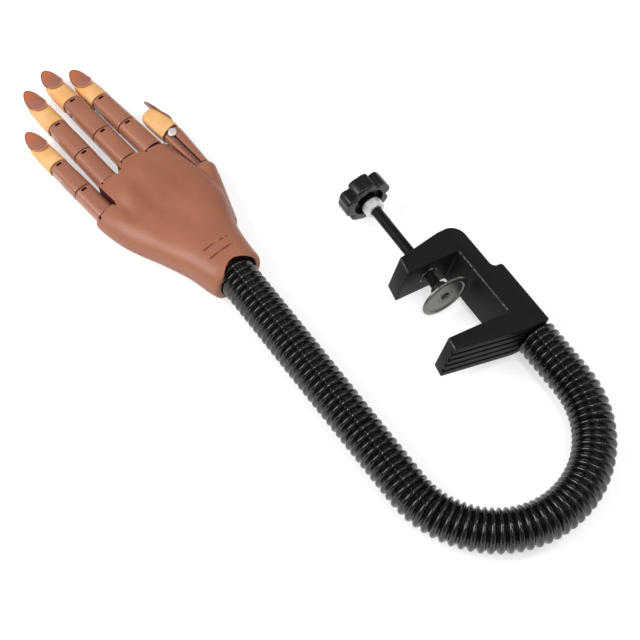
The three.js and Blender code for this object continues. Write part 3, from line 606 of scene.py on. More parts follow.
steel = Finish("turned_steel")
rings = steel.value("ShaderNodeTexNoise", "Fac", {"noise_dimensions": "1D"}, {
    "W": distance_from(steel, (0, 0, 0)), "Scale": 2600.0, "Detail": 4.0})
tarnish = noise(steel, 130, 4)
surface_of(
    steel,
    steel.mixed(tarnish, DISC_FACE, rgb(128, 128, 121)),
    0.26 + 0.16 * rings + 0.1 * tarnish,
    [(rings, 0.3, 0.00008)],
    metallic=0.92,
)
bm = turned(DISC_PROFILE, 96)
for face in bm.faces:
    middle = face.calc_center_median()
    if middle.y > NECK_FROM and math.hypot(middle.x, middle.z) < NECK_RADIUS:
        face.material_index = 1
disc = solid(bm)
disc.data.materials.append(steel.material)
disc.data.materials.append(oxide.material)
finishes = [steel, oxide]
piece("swivel_disc", disc, CLAMP, finishes, "pressure_pad", ["pressure_disc"], 25)
washer = turned(WASHER_PROFILE)
piece("disc_washer", washer, CLAMP, [steel], "screw", ["disc_retainer"])


# Knob: black moulded plastic with five broad lobes, hollow round the lock nut.
KNOB_FROM = 91.8
KNOB_HEIGHT = 12.5
KNOB_RADIUS = 19
KNOB_LOBES = 5
KNOB_TURN = math.radians(28)
KNOB_EDGE = 1.5
KNOB_BORE = 4.3
NOTCH_DEPTH = 3.6
LOBE_FLATNESS = 0.5
# Underside's hollow, the collar in it and the dish on top: radius, y
KNOB_HOLLOW = [(0, 90), (12.4, 90), (12, 91.8), (11, 96.5), (0, 96.5)]
KNOB_COLLAR = [(0, 90.1), (6.3, 90.1), (6.8, 90.6), (6.8, 97.5), (0, 97.5)]
KNOB_DISH = [(0, 106), (11.5, 106), (10, 103.6), (9, 103.1), (0, 102.6)]

knob_plastic = clouded(
    "black_knob_plastic", (90, 3), (rgb(12, 12, 12), rgb(20, 20, 20)), (0.26, 0.12), (1100, 2),
    0.18, 0.00006, specular_ior_level=0.45)
bm = bmesh.new()
circle = bmesh.ops.create_circle(bm, cap_ends=True, segments=120, radius=1)["verts"]
for vert in circle:
    angle = math.atan2(vert.co.y, vert.co.x)
    notch = max(0, -math.cos(KNOB_LOBES * angle)) ** 3
    lobe = LOBE_FLATNESS * math.cos(KNOB_LOBES * angle) ** 8
    reach = KNOB_RADIUS - LOBE_FLATNESS - NOTCH_DEPTH * notch - lobe
    at = angle + KNOB_TURN
    vert.co = (math.cos(at) * reach, KNOB_FROM, -math.sin(at) * reach)
raised(bm, (0, KNOB_HEIGHT, 0))
caps = [f for f in bm.faces if len(f.verts) > 4]
rims = list({e for f in caps for e in f.edges})
bevelled(bm, rims, KNOB_EDGE, 4, clamp_overlap=True)
knob = solid(bm)
cut(knob, turned(KNOB_HOLLOW))
add(knob, turned(KNOB_COLLAR))
cut(knob, rod((0, 90, 0), (0, 99.3, 0), KNOB_BORE, 40))
cut(knob, turned(KNOB_DISH))
piece("lobed_knob", knob, CLAMP, [knob_plastic], "screw", ["star_knob"], 28)


# Hose: corrugated black plastic over the bendable core, pushed on the block's plug and
# into the wrist. Each section lies over its own joint of the core.
HOSE_LENGTH = 449.322
SECTIONS = 6
RIBS = 14
HOSE_Z = 16.9944
HOSE_CREST = 14.75
HOSE_VALLEY = 12.4
HOSE_BORE = 11
HOSE_SIDES = 40
# Reach to each side of a section's joint, less where the hose is bent
REACH_STRAIGHT = 32
REACH_BENT = 26
BENT_SECTIONS = (1, 2, 3)
HOSE_START = Vector((90.98767, -141.72502, HOSE_Z))
BEND_CENTRE = Vector((20.88738, -178.26297, HOSE_Z))
BEND_RADIUS = 68.092
HEADING = math.radians(-93)
# The bend turns from 267 degrees, the same heading, back to 89.583
BEND_TURN = math.radians(267.0 - 89.583)
section_length = HOSE_LENGTH / SECTIONS
to_centre = BEND_CENTRE - HOSE_START
run_in = to_centre.x * math.cos(HEADING) + to_centre.y * math.sin(HEADING)


def along(s):
    """Place and heading of the hose's centre line after s millimetres."""
    turned_by = min(max((s - run_in) / BEND_RADIUS, 0), BEND_TURN)
    heading = HEADING - turned_by
    direction = Vector((math.cos(heading), math.sin(heading), 0))
    if s < run_in:
        return HOSE_START + direction * s, direction
    point = BEND_CENTRE + Vector((-direction.y, direction.x, 0)) * BEND_RADIUS
    past = max(0.0, s - run_in - BEND_TURN * BEND_RADIUS)
    return point + direction * past, direction


hose_plastic = Finish("black_hose_plastic")
cloud = noise(hose_plastic, 70, 3)
dust = noise(hose_plastic, 900, 3)
surface_of(
    hose_plastic,
    hose_plastic.mixed(cloud, rgb(8, 8, 8), rgb(14, 14, 14)),
    0.1 + 0.06 * cloud + 0.06 * dust,
    [(noise(hose_plastic, 500, 2), 0.1, 0.0001)],
    specular_ior_level=0.6,
)
pitch = section_length / RIBS
# One rib: share of the pitch, share of the rise
rib = [(0.0, 0), (0.1, 0.16), (0.2, 0.55), (0.32, 0.86), (0.42, 0.98), (0.5, 1), (0.58, 0.98),
       (0.68, 0.86), (0.8, 0.55), (0.9, 0.16)]
for k in range(SECTIONS):
    bm = bmesh.new()
    outline = [
        (HOSE_VALLEY + (HOSE_CREST - HOSE_VALLEY) * rise, (i + step) * pitch)
        for i in range(RIBS) for step, rise in rib
    ]
    outline.append((HOSE_VALLEY, RIBS * pitch))
    outline += [(HOSE_BORE, RIBS * pitch * (1 - i / RIBS)) for i in range(RIBS + 1)]
    points = [bm.verts.new((y, r, 0)) for r, y in outline]
    edges = [bm.edges.new((a, b)) for a, b in zip(points, points[1:] + points[:1])]
    bmesh.ops.spin(
        bm, geom=points + edges, cent=(0, 0, 0), axis=(1, 0, 0), angle=2 * math.pi,
        steps=HOSE_SIDES, use_merge=True)
    bmesh.ops.remove_doubles(bm, verts=bm.verts, dist=1e-4)
    for vert in bm.verts:
        point, direction = along(k * section_length + vert.co.x)
        side = Vector((direction.y, -direction.x, 0))
        vert.co = point + side * vert.co.y + Vector((0, 0, vert.co.z))
    hose = dressed(f"hose_{k + 1}", bm, Matrix.Scale(MM, 4), [hose_plastic], 62)
    joint, direction = along((k + 0.5) * section_length)
    reach = REACH_BENT if k in BENT_SECTIONS else REACH_STRAIGHT
    (joint - direction * reach) * MM
    (joint + direction * reach) * MM
    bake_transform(hose)
    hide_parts(f"hose_section_{k + 1}")


# Palm: two halves moulded in brown plastic and joined along the side, with lobes that
# carry the finger hinges, a swelling for the thumb and a collar round the hose. The back
# is scooped out over the hose, and the front ends in one step for each finger.
HAND = (
    Matrix.Scale(MM, 4)
    @ Matrix.Translation((-43.6126, 14.73704, 0))
    @ rotation(5, "Z")
)
PARTING = 16
# Stations of the palm: y, left, right, top, bottom
PALM = [
    (0.0, -20.9, 17.2, 31.8, 1.4), (0.9, -21.9, 18.2, 32.8, 0.4), (2.6, -22.5, 18.7, 33.4, 0.1),
    (8, -24, 19, 34.2, 0), (25, -27.4, 21.6, 34, 0.4), (38, -32, 25.4, 33.2, 1),
    (50, -36.8, 30.6, 32.4, 1.5), (62, -42.2, 34.6, 31.6, 2), (75, -46.8, 36, 30.8, 2.2),
    (95, -50.4, 34.8, 29.6, 2.6), (112, -50, 32.8, 27.6, 3), (131, -49, 30.6, 24.4, 3.4),
]
PALM_POWER = 2.5
PALM_LENGTH = 131
# Each finger: x across the palm, lean in degrees, the y of its three pins and of its end,
# its nail's length and its half width and height
FINGERS = {
    name: dict(x=x, lean=lean, pins=pins, end=end, nail=nail, half=half)
    for name, x, lean, pins, end, nail, half in (
        ("index", 20.3, 0, (118.4, 152.21, 186.4), 232.7, 19.5, (8.4, 7.7)),
        ("middle", 0.6, 1.4, (121.96, 157.77, 198.67), 247, 19.5, (8.6, 7.9)),
        ("ring", -21.9, 1.9, (115.8, 151.21, 187.6), 240, 22.5, (8.2, 7.6)),
        ("little", -39.9, 0, (94.3, 124.6, 156.76), 205.9, 20.5, (8, 7.3)),
    )
}
# Each finger's step spans this much of the palm's width
STEPS = {
    "index": (10.6, 60), "middle": (-11, 10.6), "ring": (-31.9, -11), "little": (-80, -31.9),
}
# Size of each length against the first, and each one's droop in degrees
TAPER = (1, 0.99, 0.98)
SLOPES = (4, 5, 6)
GAP = 0.3
RING_SIDES = 48
PIN_HOLE = 1.8
HOLE_INSET = 1.6
SLOT = 5.0
# A hinge's tongue is this much smaller than the lip over it, and its room this much larger
TONGUE = 2.2
TONGUE_ROOM = 0.5
# A gap's walls get painted shade below this depth, darkening over the fade
GAP_SHADE_DEPTH = 0.45
PALM_GAP_SHADE_FADE = 2
SKIN = rgb(176, 112, 84)
SKIN_RED = rgb(164, 100, 74)
SKIN_GAP_SHADE = rgb(70, 22, 14)


def blended(rows, y):
    """Smooth curve through rows of numbers whose first is y."""
    last = len(rows) - 1
    i = max(k for k in range(last) if rows[k][0] <= y or k == 0)
    p0, p1, p2, p3 = (rows[min(max(i + d, 0), last)] for d in (-1, 0, 1, 2))
    t = min(max((y - p1[0]) / (p2[0] - p1[0]), 0), 1)
    found = []
    width = p2[0] - p1[0]
    for a, b, c, d in list(zip(p0, p1, p2, p3))[1:]:
        slope_in = (c - a) / (p2[0] - p0[0]) * width if p2[0] > p0[0] else 0
        slope_out = (d - b) / (p3[0] - p1[0]) * width if p3[0] > p1[0] else 0
        found.append(
            (2 * t**3 - 3 * t**2 + 1) * b + (t**3 - 2 * t**2 + t) * slope_in
            + (3 * t**2 - 2 * t**3) * c + (t**3 - t**2) * slope_out)
    return found


def rounded_ring(bm, y, x, z, half_x, half_z, power):
    """Ring across y between an oval and a rectangle: the higher its power, the squarer."""
    ring = bmesh.ops.create_circle(bm, segments=RING_SIDES, radius=1)["verts"]
    for i, vert in enumerate(ring):
        angle = 2 * math.pi * i / RING_SIDES
        c, s = math.cos(angle), math.sin(angle)
        vert.co = (
            x + math.copysign(abs(c) ** (2 / power) * half_x, c), y,
            z + math.copysign(abs(s) ** (2 / power) * half_z, s))
    return list({e for v in ring for e in v.link_edges})


def loft(rings):
    """Closed body through rings given as (y, x, z, half_x, half_z, power)."""
    bm = bmesh.new()
    loops = [rounded_ring(bm, *ring) for ring in rings]
    for first, second in zip(loops, loops[1:]):
        bmesh.ops.bridge_loops(bm, edges=first + second)
    bmesh.ops.holes_fill(bm, edges=loops[0] + loops[-1], sides=0)
    return bm


def remeshed(made, size, smoothing=3):
    modifier = made.modifiers.new("even", "REMESH")
    modifier.mode = "VOXEL"
    modifier.voxel_size = size
    modifier = made.modifiers.new("soften", "SMOOTH")
    modifier.factor = 0.5
    modifier.iterations = smoothing
    return settle(made)


def joined(*shapes):
    """One working object that holds several separate shapes."""
    bm = bmesh.new()
    for shape in shapes:
        bm.from_mesh(shape.data)
        bpy.data.objects.remove(shape)
    return solid(bm)


def finger_place(name):
    """The finger's own frame in the hand: its knuckle pin is the origin."""
    finger = FINGERS[name]
    lean = rotation(-finger["lean"], "Z")
    return Matrix.Translation((finger["x"], finger["pins"][0], PARTING)) @ lean


def joint_cutter(radius, half_x, below, reach, left, right, window=True, relief=False):
    """Room for a hinge whose pin runs along x: the carrier keeps a round end below its lip."""
    made = solid(block((left, 0, -below), (right, reach, 0)))
    cut(made, rod((left - 1, 0, 0), (right + 1, 0, 0), radius, 64))
    add(made, block((left, radius, -below), (right, reach, radius + 40)))
    if relief:
        add(made, block((left, -radius - 1.3, -below), (right, reach, -radius - 0.3)))
    tongue = radius - TONGUE + TONGUE_ROOM
    add(made, rod((-SLOT / 2, 0, 0), (SLOT / 2, 0, 0), tongue, 32))
    add(made, block((-SLOT / 2, -tongue, -below), (SLOT / 2, reach, 0)))
    add(made, block((-SLOT / 2, 0, -1), (SLOT / 2, reach, 2.9)))
    pin_end = half_x - HOLE_INSET
    add(made, rod((-pin_end, 0, 0), (pin_end, 0, 0), PIN_HOLE, 24))
    if window:
        add(made, block((-2.1, radius - 3.2, 1), (2.1, radius - 1, radius + 40)))
    return made


def surface_tree(bm):
    """Search tree of a surface before anything is cut from it."""
    found = BVHTree.FromBMesh(bm)
    bm.free()
    return found


def mark_painted_gap_shade(made, tree, fade=1.1):
    """Stores how far each point lies below the uncut surface, for the painted shade that darkens
    gaps.
    """
    mark = made.data.attributes.new("painted_gap_shade", "FLOAT", "POINT")
    for vert, kept in zip(made.data.vertices, mark.data):
        depth = tree.find_nearest(vert.co)[3]
        kept.value = min(max((depth - GAP_SHADE_DEPTH) / fade, 0), 1)


def skin_finish(name, roughness, specular):
    """Brown moulded plastic; the fingers are glossier than the palm."""
    skin = Finish(name)
    cloud = noise(skin, 26, 3)
    mottle = noise(skin, 240, 3)
    grain = noise(skin, 2200, 2)
    painted_gap_shade = stored(skin, "painted_gap_shade")
    tone = skin.mixed(skin.between(cloud, 0.3, 0.7), SKIN, SKIN_RED)
    tone = skin.mixed(mottle * 0.35, tone, rgb(184, 120, 92))
    # Deep in gaps the colour turns to the painted gap shade
    return surface_of(
        skin,
        skin.mixed(painted_gap_shade, tone, SKIN_GAP_SHADE),
        roughness + 0.1 * cloud + 0.05 * grain,
        [(grain, 0.12, 0.00005), (mottle, 0.08, 0.0002)],
        specular_ior_level=specular,
    )


palm_plastic = skin_finish("brown_palm_plastic", 0.36, 0.5)

rings = []
y = 0.0
while y < PALM_LENGTH + 0.1:
    left, right, top, bottom = blended(PALM, y)
    rings.append((
        y, (left + right) / 2, (top + bottom) / 2, (right - left) / 2, (top - bottom) / 2,
        PALM_POWER))
    y += 0.5 if y < 3 else 2.0
# The thumb's swelling: a rod with round ends
THENAR_FROM = Vector((21, 45, 13))
THENAR_TO = Vector((38, 88, 13))
THENAR_RADIUS = 9.3
# Cell sizes of the palm's even mesh, before and after the cuts
PALM_COARSE = 0.8
PALM_FINE = 0.5
SHELL_SCREWS = ((-6, 52), (-22, 67))
thenar = rod(THENAR_FROM, THENAR_TO, THENAR_RADIUS, 48)
for end in (THENAR_FROM, THENAR_TO):
    ball = bmesh.ops.create_uvsphere(
        thenar, u_segments=48, v_segments=24, radius=THENAR_RADIUS)["verts"]
    bmesh.ops.translate(thenar, verts=ball, vec=end)
palm = remeshed(joined(solid(loft(rings)), solid(thenar)), PALM_COARSE, 12)


def palm_top(x, y):
    left, right, top, bottom = blended(PALM, y)
    middle, half = (left + right) / 2, (right - left) / 2
    share = min(abs((x - middle) / half), 0.999)
    return (top + bottom) / 2 + (top - bottom) / 2 * (1 - share**PALM_POWER) ** (1 / PALM_POWER)


# Swellings of the back of the hand: x, y, height, half width, half length
SWELLINGS = [
    (19, 108, 1.0, 9, 13), (0.5, 108, 1.9, 8.5, 13), (-20.5, 100, 2.2, 8, 12),
    (-38.5, 82, 1.9, 8, 13), (-31, 60, 1.5, 9, 20), (-4, 66, -1.1, 9, 30), (12, 84, -0.8, 6, 18),
    (-12, 84, -1.0, 5, 16), (-30, 92, -0.9, 4, 12), (30, 98, 1.4, 7, 22),
]
bm = bmesh.new()
bm.from_mesh(palm.data)
for vert in bm.verts:
    rise = sum(
        height * math.exp(-(((vert.co.x - x) / wide) ** 2) - ((vert.co.y - y) / long) ** 2)
        for x, y, height, wide, long in SWELLINGS)
    vert.co.z += rise * min(1, max(0, vert.co.z - PARTING - 2) / 6)
bm.to_mesh(palm.data)
palm_skin = surface_tree(bm)

for name, finger in FINGERS.items():
    half_x, half_z = finger["half"]
    left, right = (edge - finger["x"] for edge in STEPS[name])
    cutter = joint_cutter(half_z, half_x, 30, 60, left - GAP, right + GAP, False, True)
    for side in (-1, 1):
        at = side * (half_x - 1.3)
        add(cutter, block((at - 0.8, half_z - 2.3, 3), (at + 0.8, half_z + 1, 30)))
    cutter.data.transform(finger_place(name))
    carve(palm, cutter)
hand_back = HAND.inverted()


def in_hand(s):
    return hand_back @ (along(s)[0] * MM)


# Room for the hose, the plug and its flange: from and to past the hose's end, radius, sides
for start, end, radius, sides in (-20, 0.3, 15.15, 64), (-2, 25.5, 8, 40), (21.2, 25.8, 10.3, 40):
    cut(palm, rod(in_hand(HOSE_LENGTH + start), in_hand(HOSE_LENGTH + end), radius, sides))
# The back of the wrist is scooped out over the hose
WRIST_SCOOP = 5
SCOOP_RADIUS = 15.2
scoop_from = in_hand(HOSE_LENGTH)
scoop_from.y = WRIST_SCOOP
cut(palm, rod(scoop_from, scoop_from + Vector((0, -30, 18)), SCOOP_RADIUS, 64))

CREASES = [((-12.8, 24.9), (9.8, 23.8)), ((-14.7, 16.7), (9.9, 16.5))]
CREASE_WIDTH = 1.5
CREASE_DEPTH = 1.7
for (x0, y0), (x1, y1) in CREASES:
    bm = block((0, -CREASE_WIDTH / 2, 0), (1, CREASE_WIDTH / 2, 1))
    lengthways = [e for e in bm.edges if abs(e.verts[0].co.x - e.verts[1].co.x) > 0.5]
    bmesh.ops.subdivide_edges(bm, edges=lengthways, cuts=15, use_grid_fill=True)
    for vert in bm.verts:
        t = vert.co.x
        ends = 4 * t * (1 - t)
        x, y = x0 + (x1 - x0) * t, y0 + (y1 - y0) * t + 0.5 * ends
        low = palm_top(x, y) - CREASE_DEPTH * min(1, 4 * ends) + 0.02
        across = vert.co.y * (0.5 if vert.co.z < 0.5 else 1)
        vert.co = (x, y + across, low if vert.co.z < 0.5 else palm_top(x, y) + 0.6)
    cut(palm, bm)

THUMB_X = 41
THUMB_Z = 13
THUMB_Y = 85.3
THUMB_HALF = (7.7, 7)
THUMB_LENGTH = 42.9
THUMB_JOINT = 3.9
THUMB_BEND = 5
THUMB_ROLL = 78
SEAT_HALF = 11.5
SEAT_LIP = THUMB_HALF[1] + 0.8
SEAT_DEPTH = 12
THUMB = Matrix.Translation((THUMB_X, THUMB_Y, THUMB_Z)) @ rotation(THUMB_ROLL, "Y")
seat = joint_cutter(
    THUMB_HALF[1], THUMB_HALF[0] + HOLE_INSET, SEAT_DEPTH, 14, -SEAT_HALF, SEAT_HALF, False)
cut(seat, block((-30, -1, SEAT_LIP), (30, 60, 80)))
add(seat, block((-SEAT_HALF, THUMB_HALF[1], -SEAT_DEPTH), (SEAT_HALF, 60, SEAT_LIP)))
seat.data.transform(THUMB @ Matrix.Scale(-1, 4, (0, 0, 1)))
seat.data.flip_normals()
carve(palm, seat)
# Short slot across the thumb's swelling
THENAR_SLOT = Matrix.Translation((39.4, 89.6, 21.9)) @ rotation(-14, "Z")
slot_cut = solid(block((-3.2, -0.5, -1.2), (3.2, 0.5, 6)))
slot_cut.data.transform(THENAR_SLOT)
carve(palm, slot_cut)
remeshed(palm, PALM_FINE, 2)
for x, y in SHELL_SCREWS:
    cut(palm, rod((x, y, -2), (x, y, 5.3), 3.3, 32))
    cut(palm, rod((x, y, 0), (x, y, 24.3), 1.8, 20))

lower = palm.copy()
lower.data = palm.data.copy()
scene.collection.objects.link(lower)
carve(palm, solid(block((-200, -100, PARTING + GAP / 2), (200, 300, 90))), "INTERSECT")
carve(lower, solid(block((-200, -100, -50), (200, 300, PARTING - GAP / 2))), "INTERSECT")
mark_painted_gap_shade(palm, palm_skin, PALM_GAP_SHADE_FADE)
mark_painted_gap_shade(lower, palm_skin, PALM_GAP_SHADE_FADE)
piece("palm_back_half", palm, HAND, [palm_plastic], "hand", ["back_shell"], 40)
piece("palm_front_half", lower, HAND, [palm_plastic], "hand", ["palm_shell"], 40)


# Fingers: brown moulded lengths with a hinge tongue at the near end, a lip and a small
# slot over the hinge at the far end. The tips are cream; the nail sits on them.
CREAM = rgb(246, 186, 118)
TONGUE_HALF = 2.2
WEB_HALF = 2.6
# Gaps that show between the lengths, wider at the knuckle
SEEN_GAP = 1.0
KNUCKLE_GAP = 1.5
EDGE = 0.3
FINGER_MESH = 0.34
THUMB_MESH = 0.36
SECTION_POWER = 2.4
FLAT_DEPTH = 1.1
FLAT_RADIUS = 9

skin = skin_finish("brown_finger_plastic", 0.22, 1.0)
cream = Finish("cream_tip_plastic")
cloud = noise(cream, 60, 3)
mottle = noise(cream, 500, 3)
painted_gap_shade = stored(cream, "painted_gap_shade")
tone = cream.mixed(cream.between(cloud, 0.35, 0.65), CREAM, rgb(252, 200, 136))
# Deep in gaps the cream turns dark brown: painted gap shade
surface_of(
    cream,
    cream.mixed(painted_gap_shade, tone, rgb(96, 44, 18)),
    0.4 + 0.12 * cloud,
    [(mottle, 0.1, 0.0001), (noise(cream, 2400, 2), 0.1, 0.00004)],
)


def limb(stations, power=SECTION_POWER, tools=()):
    """Loft of a finger piece, and the search tree of its surface carried on at both ends."""
    first, last = list(stations[0]), list(stations[-1])
    first[0] -= 12
    last[0] += 12
    shape = solid(loft([(*station, power) for station in stations]))
    longer = solid(loft([(*station, power) for station in (first, *stations[1:-1], last)]))
    for tool in tools:
        carve(shape, tool, keep_tool=True)
        carve(longer, tool)
    bm = bmesh.new()
    bm.from_mesh(longer.data)
    bpy.data.objects.remove(longer)
    return shape, surface_tree(bm)


def add_tongue(made, radius, start, half_z):
    """Disc and web that enter the slot of the piece before, with the pin's hole."""
    add(made, rod((-TONGUE_HALF, 0, 0), (TONGUE_HALF, 0, 0), radius, 40))
    add(made, block((-TONGUE_HALF, 0, -half_z), (TONGUE_HALF, start + 2, half_z)))
    cut(made, rod((-4, 0, 0), (4, 0, 0), PIN_HOLE, 24))


finger_tips = []
for name, finger in FINGERS.items():
    half_x, half_z = finger["half"]
    radii = [half_z * t for t in TAPER]
    pins = finger["pins"]
    place = HAND @ finger_place(name) @ rotation(-SLOPES[0], "X")
    for i, title in enumerate(("proximal", "middle")):
        length = pins[i + 1] - pins[i]
        start = radii[i] + (SEEN_GAP if i else KNUCKLE_GAP)
        t0, t1 = TAPER[i], TAPER[i + 1]
        flats = []
        if title == "middle":
            # Flat faces with slanting ends on both sides of the tip's hinge
            for side in (-1, 1):
                inner, y = side * (half_x * t1 - FLAT_DEPTH), length + 1
                flats.append(solid(rod((inner, y, 0), (side * (half_x + 4), y, 0), FLAT_RADIUS, 6)))
        shape, tree = limb([
            (start, 0, 0, half_x * t0 - EDGE, half_z * t0 - EDGE),
            (start + EDGE, 0, 0, half_x * t0, half_z * t0),
            (start + length * 0.3, 0, 0, half_x * t0 * 0.99, half_z * t0 * 0.99),
            (length - 2, 0, 0, half_x * t1 * 0.99, half_z * t1),
            (length + radii[i + 1] - EDGE, 0, 0, half_x * t1, half_z * t1),
            (length + radii[i + 1] + 0.01, 0, 0, half_x * t1 - EDGE, half_z * t1 - EDGE),
        ], SECTION_POWER, flats)
        add_tongue(shape, radii[i] - TONGUE, start, WEB_HALF)
        cutter = joint_cutter(
            radii[i + 1], half_x * t1, half_z + 1, half_z + 1, -half_x - 1, half_x + 1)
        cutter.data.transform(Matrix.Translation((0, length, 0)))
        carve(shape, cutter)
        remeshed(shape, FINGER_MESH, 2)
        mark_painted_gap_shade(shape, tree)
        piece(
            f"{name}_{title}_length", shape, place, [skin], f"{name}_{i + 1}",
            [f"{name}_{title}"], 50)
        turn = rotation(SLOPES[i] - SLOPES[i + 1], "X")
        place = place @ Matrix.Translation((0, length, 0)) @ turn
    finger_tips.append((name, place, finger["end"] - pins[2], finger["nail"], radii[2]))


# Nails: glossy brown plastic, pushed on over the tips and worn as wide as the finger. They
# arch over the tip, stand a little proud at the root and reach well past the end.
NAIL_LIFT = 0.3
NAIL_THICKNESS = 0.8
NAIL_OVERHANG = 9
NAIL_BACK = 4.5
NAIL_ROUNDNESS = 2.1
NAIL_NARROWING = 0.12
ROOT_RISE = 0.35

nail_plastic = Finish("nail_gloss_plastic")
along_nail = stored(nail_plastic, "along")
rim = stored(nail_plastic, "rim")
cloud = noise(nail_plastic, 160, 3)
front = nail_plastic.between(along_nail + 0.2 * cloud, 0.4, 1)
tone = nail_plastic.mixed(front, rgb(172, 112, 92), rgb(204, 112, 70))
edge = nail_plastic.mixed(
    nail_plastic.between(along_nail, 0.2, 0.4), rgb(206, 140, 108), rgb(112, 70, 54))
surface_of(
    nail_plastic, nail_plastic.mixed(rim, tone, edge), 0.2 + 0.1 * cloud,
    [(noise(nail_plastic, 300, 2, (3, 0.5, 1)), 0.08, 0.0002)],
)


def arched_nail(root, end, section, share, power=SECTION_POWER):
    """Plate that follows the tip's section (middle z, half width, half height) at each y."""
    bm = bmesh.new()
    bmesh.ops.create_grid(bm, x_segments=28, y_segments=40, size=1)
    shade = bm.verts.layers.float.new("along")
    rim_mark = bm.verts.layers.float.new("rim")
    for vert in bm.verts:
        u, v = vert.co.x, vert.co.y
        x, y = u * math.sqrt(1 - v * v / 2), v * math.sqrt(1 - u * u / 2)
        reach = math.hypot(x, y)
        if reach > 1e-6:
            c, n = abs(x / reach), abs(y / reach)
            square = (c**NAIL_ROUNDNESS + n**NAIL_ROUNDNESS) ** (-1 / NAIL_ROUNDNESS)
            x, y = x * square, y * square
        vert[shade] = (y + 1) / 2
        vert[rim_mark] = min(1, max(0, reach - 0.86) / 0.1) ** 1.5
        at = (root + end) / 2 + y * (end - root) / 2
        z, half_x, half_z = section(at)
        # The front half narrows to a point
        across = x * share * (1 - NAIL_NARROWING * max(0, y))
        height = (1 - abs(across) ** power) ** (1 / power)
        lift = NAIL_LIFT + ROOT_RISE * math.exp(-(((reach - 1) / 0.07) ** 2)) * (y < -0.2)
        vert.co = (across * (half_x + lift), at, z + (half_z + lift) * height)
    bmesh.ops.recalc_face_normals(bm, faces=bm.faces)
    if sum(f.normal.z for f in bm.faces) > 0:
        bmesh.ops.reverse_faces(bm, faces=bm.faces)
    bmesh.ops.solidify(bm, geom=bm.faces[:], thickness=NAIL_THICKNESS)
    return bm


for name, place, end, nail_length, joint_radius in finger_tips:
    t = TAPER[2]
    half_x, half_z = (half * t for half in FINGERS[name]["half"])
    start = joint_radius + SEEN_GAP
    tip_end = end - NAIL_OVERHANG
    root = end - nail_length - NAIL_BACK

    def finger_section(y):
        past = max(0.0, y - root) / (end - root)
        return 0.7 * past, half_x * (0.975 - 0.2 * past), half_z * (0.93 - 0.36 * past)

    stations = [
        (start, 0, 0, half_x - EDGE, half_z - EDGE), (start + EDGE, 0, 0, half_x, half_z),
        (start + 8, 0, 0, half_x * 0.99, half_z * 0.98),
    ]
    for y in (root - 0.5, root + 4, tip_end - 5):
        z, wide, high = finger_section(y)
        stations.append((y, 0, z, wide, high))
    z, wide, high = finger_section(tip_end)
    for back_off, share in ((2.6, 0.9), (1.1, 0.72), (0.3, 0.5), (0, 0.26)):
        stations.append((tip_end - back_off, 0, z - 0.2, wide * share, high * share))
    shape, tree = limb(stations)
    add_tongue(shape, joint_radius - TONGUE, start, WEB_HALF)
    remeshed(shape, FINGER_MESH, 2)
    mark_painted_gap_shade(shape, tree)
    piece(f"{name}_tip_cap", shape, place, [cream], f"{name}_3", [f"{name}_tip"], 45)
    nail = arched_nail(root, end, finger_section, 0.86)
    piece(
        f"{name}_nail_plate", nail, place, [nail_plastic], f"{name}_nail_tip",
        [f"{name}_nail"], 60)


# Thumb: hinged nearly upright on the swelling of the palm, a brown length with a sunk
# cheek and a cream tip, joined by a bright rivet with a broad flat head.
THUMB_CLOSES = 10
THUMB_OPENS = 21
THUMB_TIP_END = 40.6
THUMB_NAIL_BACK = 27
THUMB_POWER = 3.2
thumb_place = HAND @ THUMB
half_x, half_z = THUMB_HALF
length = THUMB_LENGTH
start = half_z + SEEN_GAP
shape, tree = limb([
    (start, 0, -1, half_x - EDGE, half_z - 1.3),
    (start + EDGE, 0, -1, half_x, half_z - 1),
    (length * 0.5, 0, -0.6, half_x, half_z - 0.2),
    (length - 2, 0, -0.2, half_x, half_z + 0.9),
    (length + THUMB_JOINT, 0, -0.1, half_x, half_z + 1),
])
add_tongue(shape, half_z - TONGUE, start, WEB_HALF)
# The far end slants away on both sides to let the tip turn
for angle in (-THUMB_BEND - THUMB_CLOSES, THUMB_OPENS - THUMB_BEND):
    wedge = block((-12, THUMB_JOINT, -20), (12, 20, 20))
    turn = Matrix.Translation((0, length, 0)) @ rotation(angle, "X")
    bmesh.ops.transform(wedge, matrix=turn, verts=wedge.verts)
    cut(shape, wedge)
cut(shape, block((-SLOT / 2, length - THUMB_JOINT, -10), (SLOT / 2, length + 10, 10)))
cut(shape, rod((-12, length, 0), (12, length, 0), PIN_HOLE, 24))
# Cheek sunk on the side towards the palm, with a step down the middle that is dark with painted gap
# shade
cut(shape, block((-half_x - 3, 4, -12), (-half_x + 1.2, length + 8, -0.2)))
cut(shape, block((-half_x - 3, 6, -0.9), (-half_x + 2.4, length - 2, 0.1)))
remeshed(shape, THUMB_MESH, 2)
mark_painted_gap_shade(shape, tree)
piece("thumb_length", shape, thumb_place, [skin], "thumb_1", ["thumb_proximal"], 45)

tip_place = thumb_place @ Matrix.Translation((0, length, 0)) @ rotation(-THUMB_BEND, "X")
end = THUMB_TIP_END
root = end - THUMB_NAIL_BACK
tip_end = end - NAIL_OVERHANG
start = THUMB_JOINT + SEEN_GAP


def thumb_section(y):
    past = max(0.0, y - root) / (end - root)
    droop = 2.6 * max(0.0, past - 0.55) ** 1.5
    return 0.8 - droop, half_x * (0.98 - 0.14 * past), half_z * (1.09 - 0.24 * past) - droop


stations = [
    (start, 0, 0.3, half_x - EDGE, half_z + 0.6), (start + EDGE, 0, 0.3, half_x, half_z + 0.9),
]
for y in (root - 0.5, root + 5, tip_end - 6):
    z, wide, high = thumb_section(y)
    stations.append((y, 0, z - 0.5, wide, high + 0.5))
z, wide, high = thumb_section(tip_end)
for back_off, share in ((2.4, 0.93), (0.9, 0.76), (0.2, 0.52), (0, 0.3)):
    stations.append((tip_end - back_off, 0, z - 0.6, wide * share, (high + 0.4) * share))
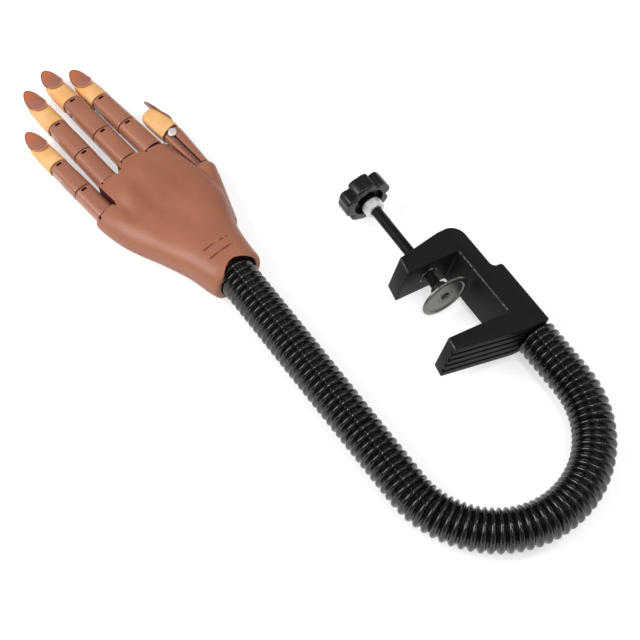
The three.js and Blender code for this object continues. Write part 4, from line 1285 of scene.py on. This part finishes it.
# Two slanting faces on the pad side
chamfers = []
for side in (-1, 1):
    chamfer = solid(block((0, -5, -20), (20, end, 0)))
    chamfer.data.transform(
        Matrix.Scale(side, 4, (1, 0, 0)) @ Matrix.Translation((half_x * 0.98, 0, -2.6))
        @ rotation(32, "Y"))
    if side < 0:
        chamfer.data.flip_normals()
    chamfers.append(chamfer)
shape, tree = limb(stations, THUMB_POWER, chamfers)
add_tongue(shape, THUMB_JOINT - 0.5, start, 3)
remeshed(shape, THUMB_MESH, 2)
mark_painted_gap_shade(shape, tree)
piece("thumb_tip_cap", shape, tip_place, [cream], "thumb_2", ["thumb_tip"], 45)
nail = arched_nail(root, end, thumb_section, 0.92, THUMB_POWER)
piece(
    "thumb_nail_plate", nail, tip_place, [nail_plastic], "thumb_nail_tip",
    ["thumb_nail"], 60)


# Pins: short steel pins pressed through each hinge, and the thumb's rivet, whose white
# zinc head is the one that shows.
pin_half = half_x + 0.3
RIVET_SHANK = 1.5
RIVET_HEAD = 3.45
rivet = turned([
    (0, -pin_half - 1.1), (2.2, -pin_half - 1.1), (2.9, -pin_half - 0.9), (3.35, -pin_half - 0.6),
    (RIVET_HEAD, -pin_half - 0.2), (RIVET_HEAD, -pin_half), (RIVET_SHANK, -pin_half),
    (RIVET_SHANK, half_x - 0.5), (0, half_x - 0.5),
], 48)
turn = Matrix.Rotation(math.radians(-90), 3, "Z")
bmesh.ops.rotate(rivet, cent=(0, 0, 0), matrix=turn, verts=rivet.verts)
white_zinc = clouded(
    "white_zinc_rivet", (300, 4), (rgb(206, 196, 196), rgb(232, 224, 222)), (0.35, 0.2), (300, 4),
    0.2, 0.0001, metallic=0.25)
piece("thumb_rivet", rivet, tip_place, [white_zinc], "thumb_1", ["thumb_tip_pin"])

pin_steel = clouded(
    "pin_steel", (400, 3), (rgb(120, 120, 118), rgb(160, 160, 156)), (0.3, 0.2), (1500, 2), 0.2,
    0.00005, metallic=0.9)
for name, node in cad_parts.items():
    if not node.hide_render:
        node.data.materials.clear()
        node.data.materials.append(pin_steel.material)

low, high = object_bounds()
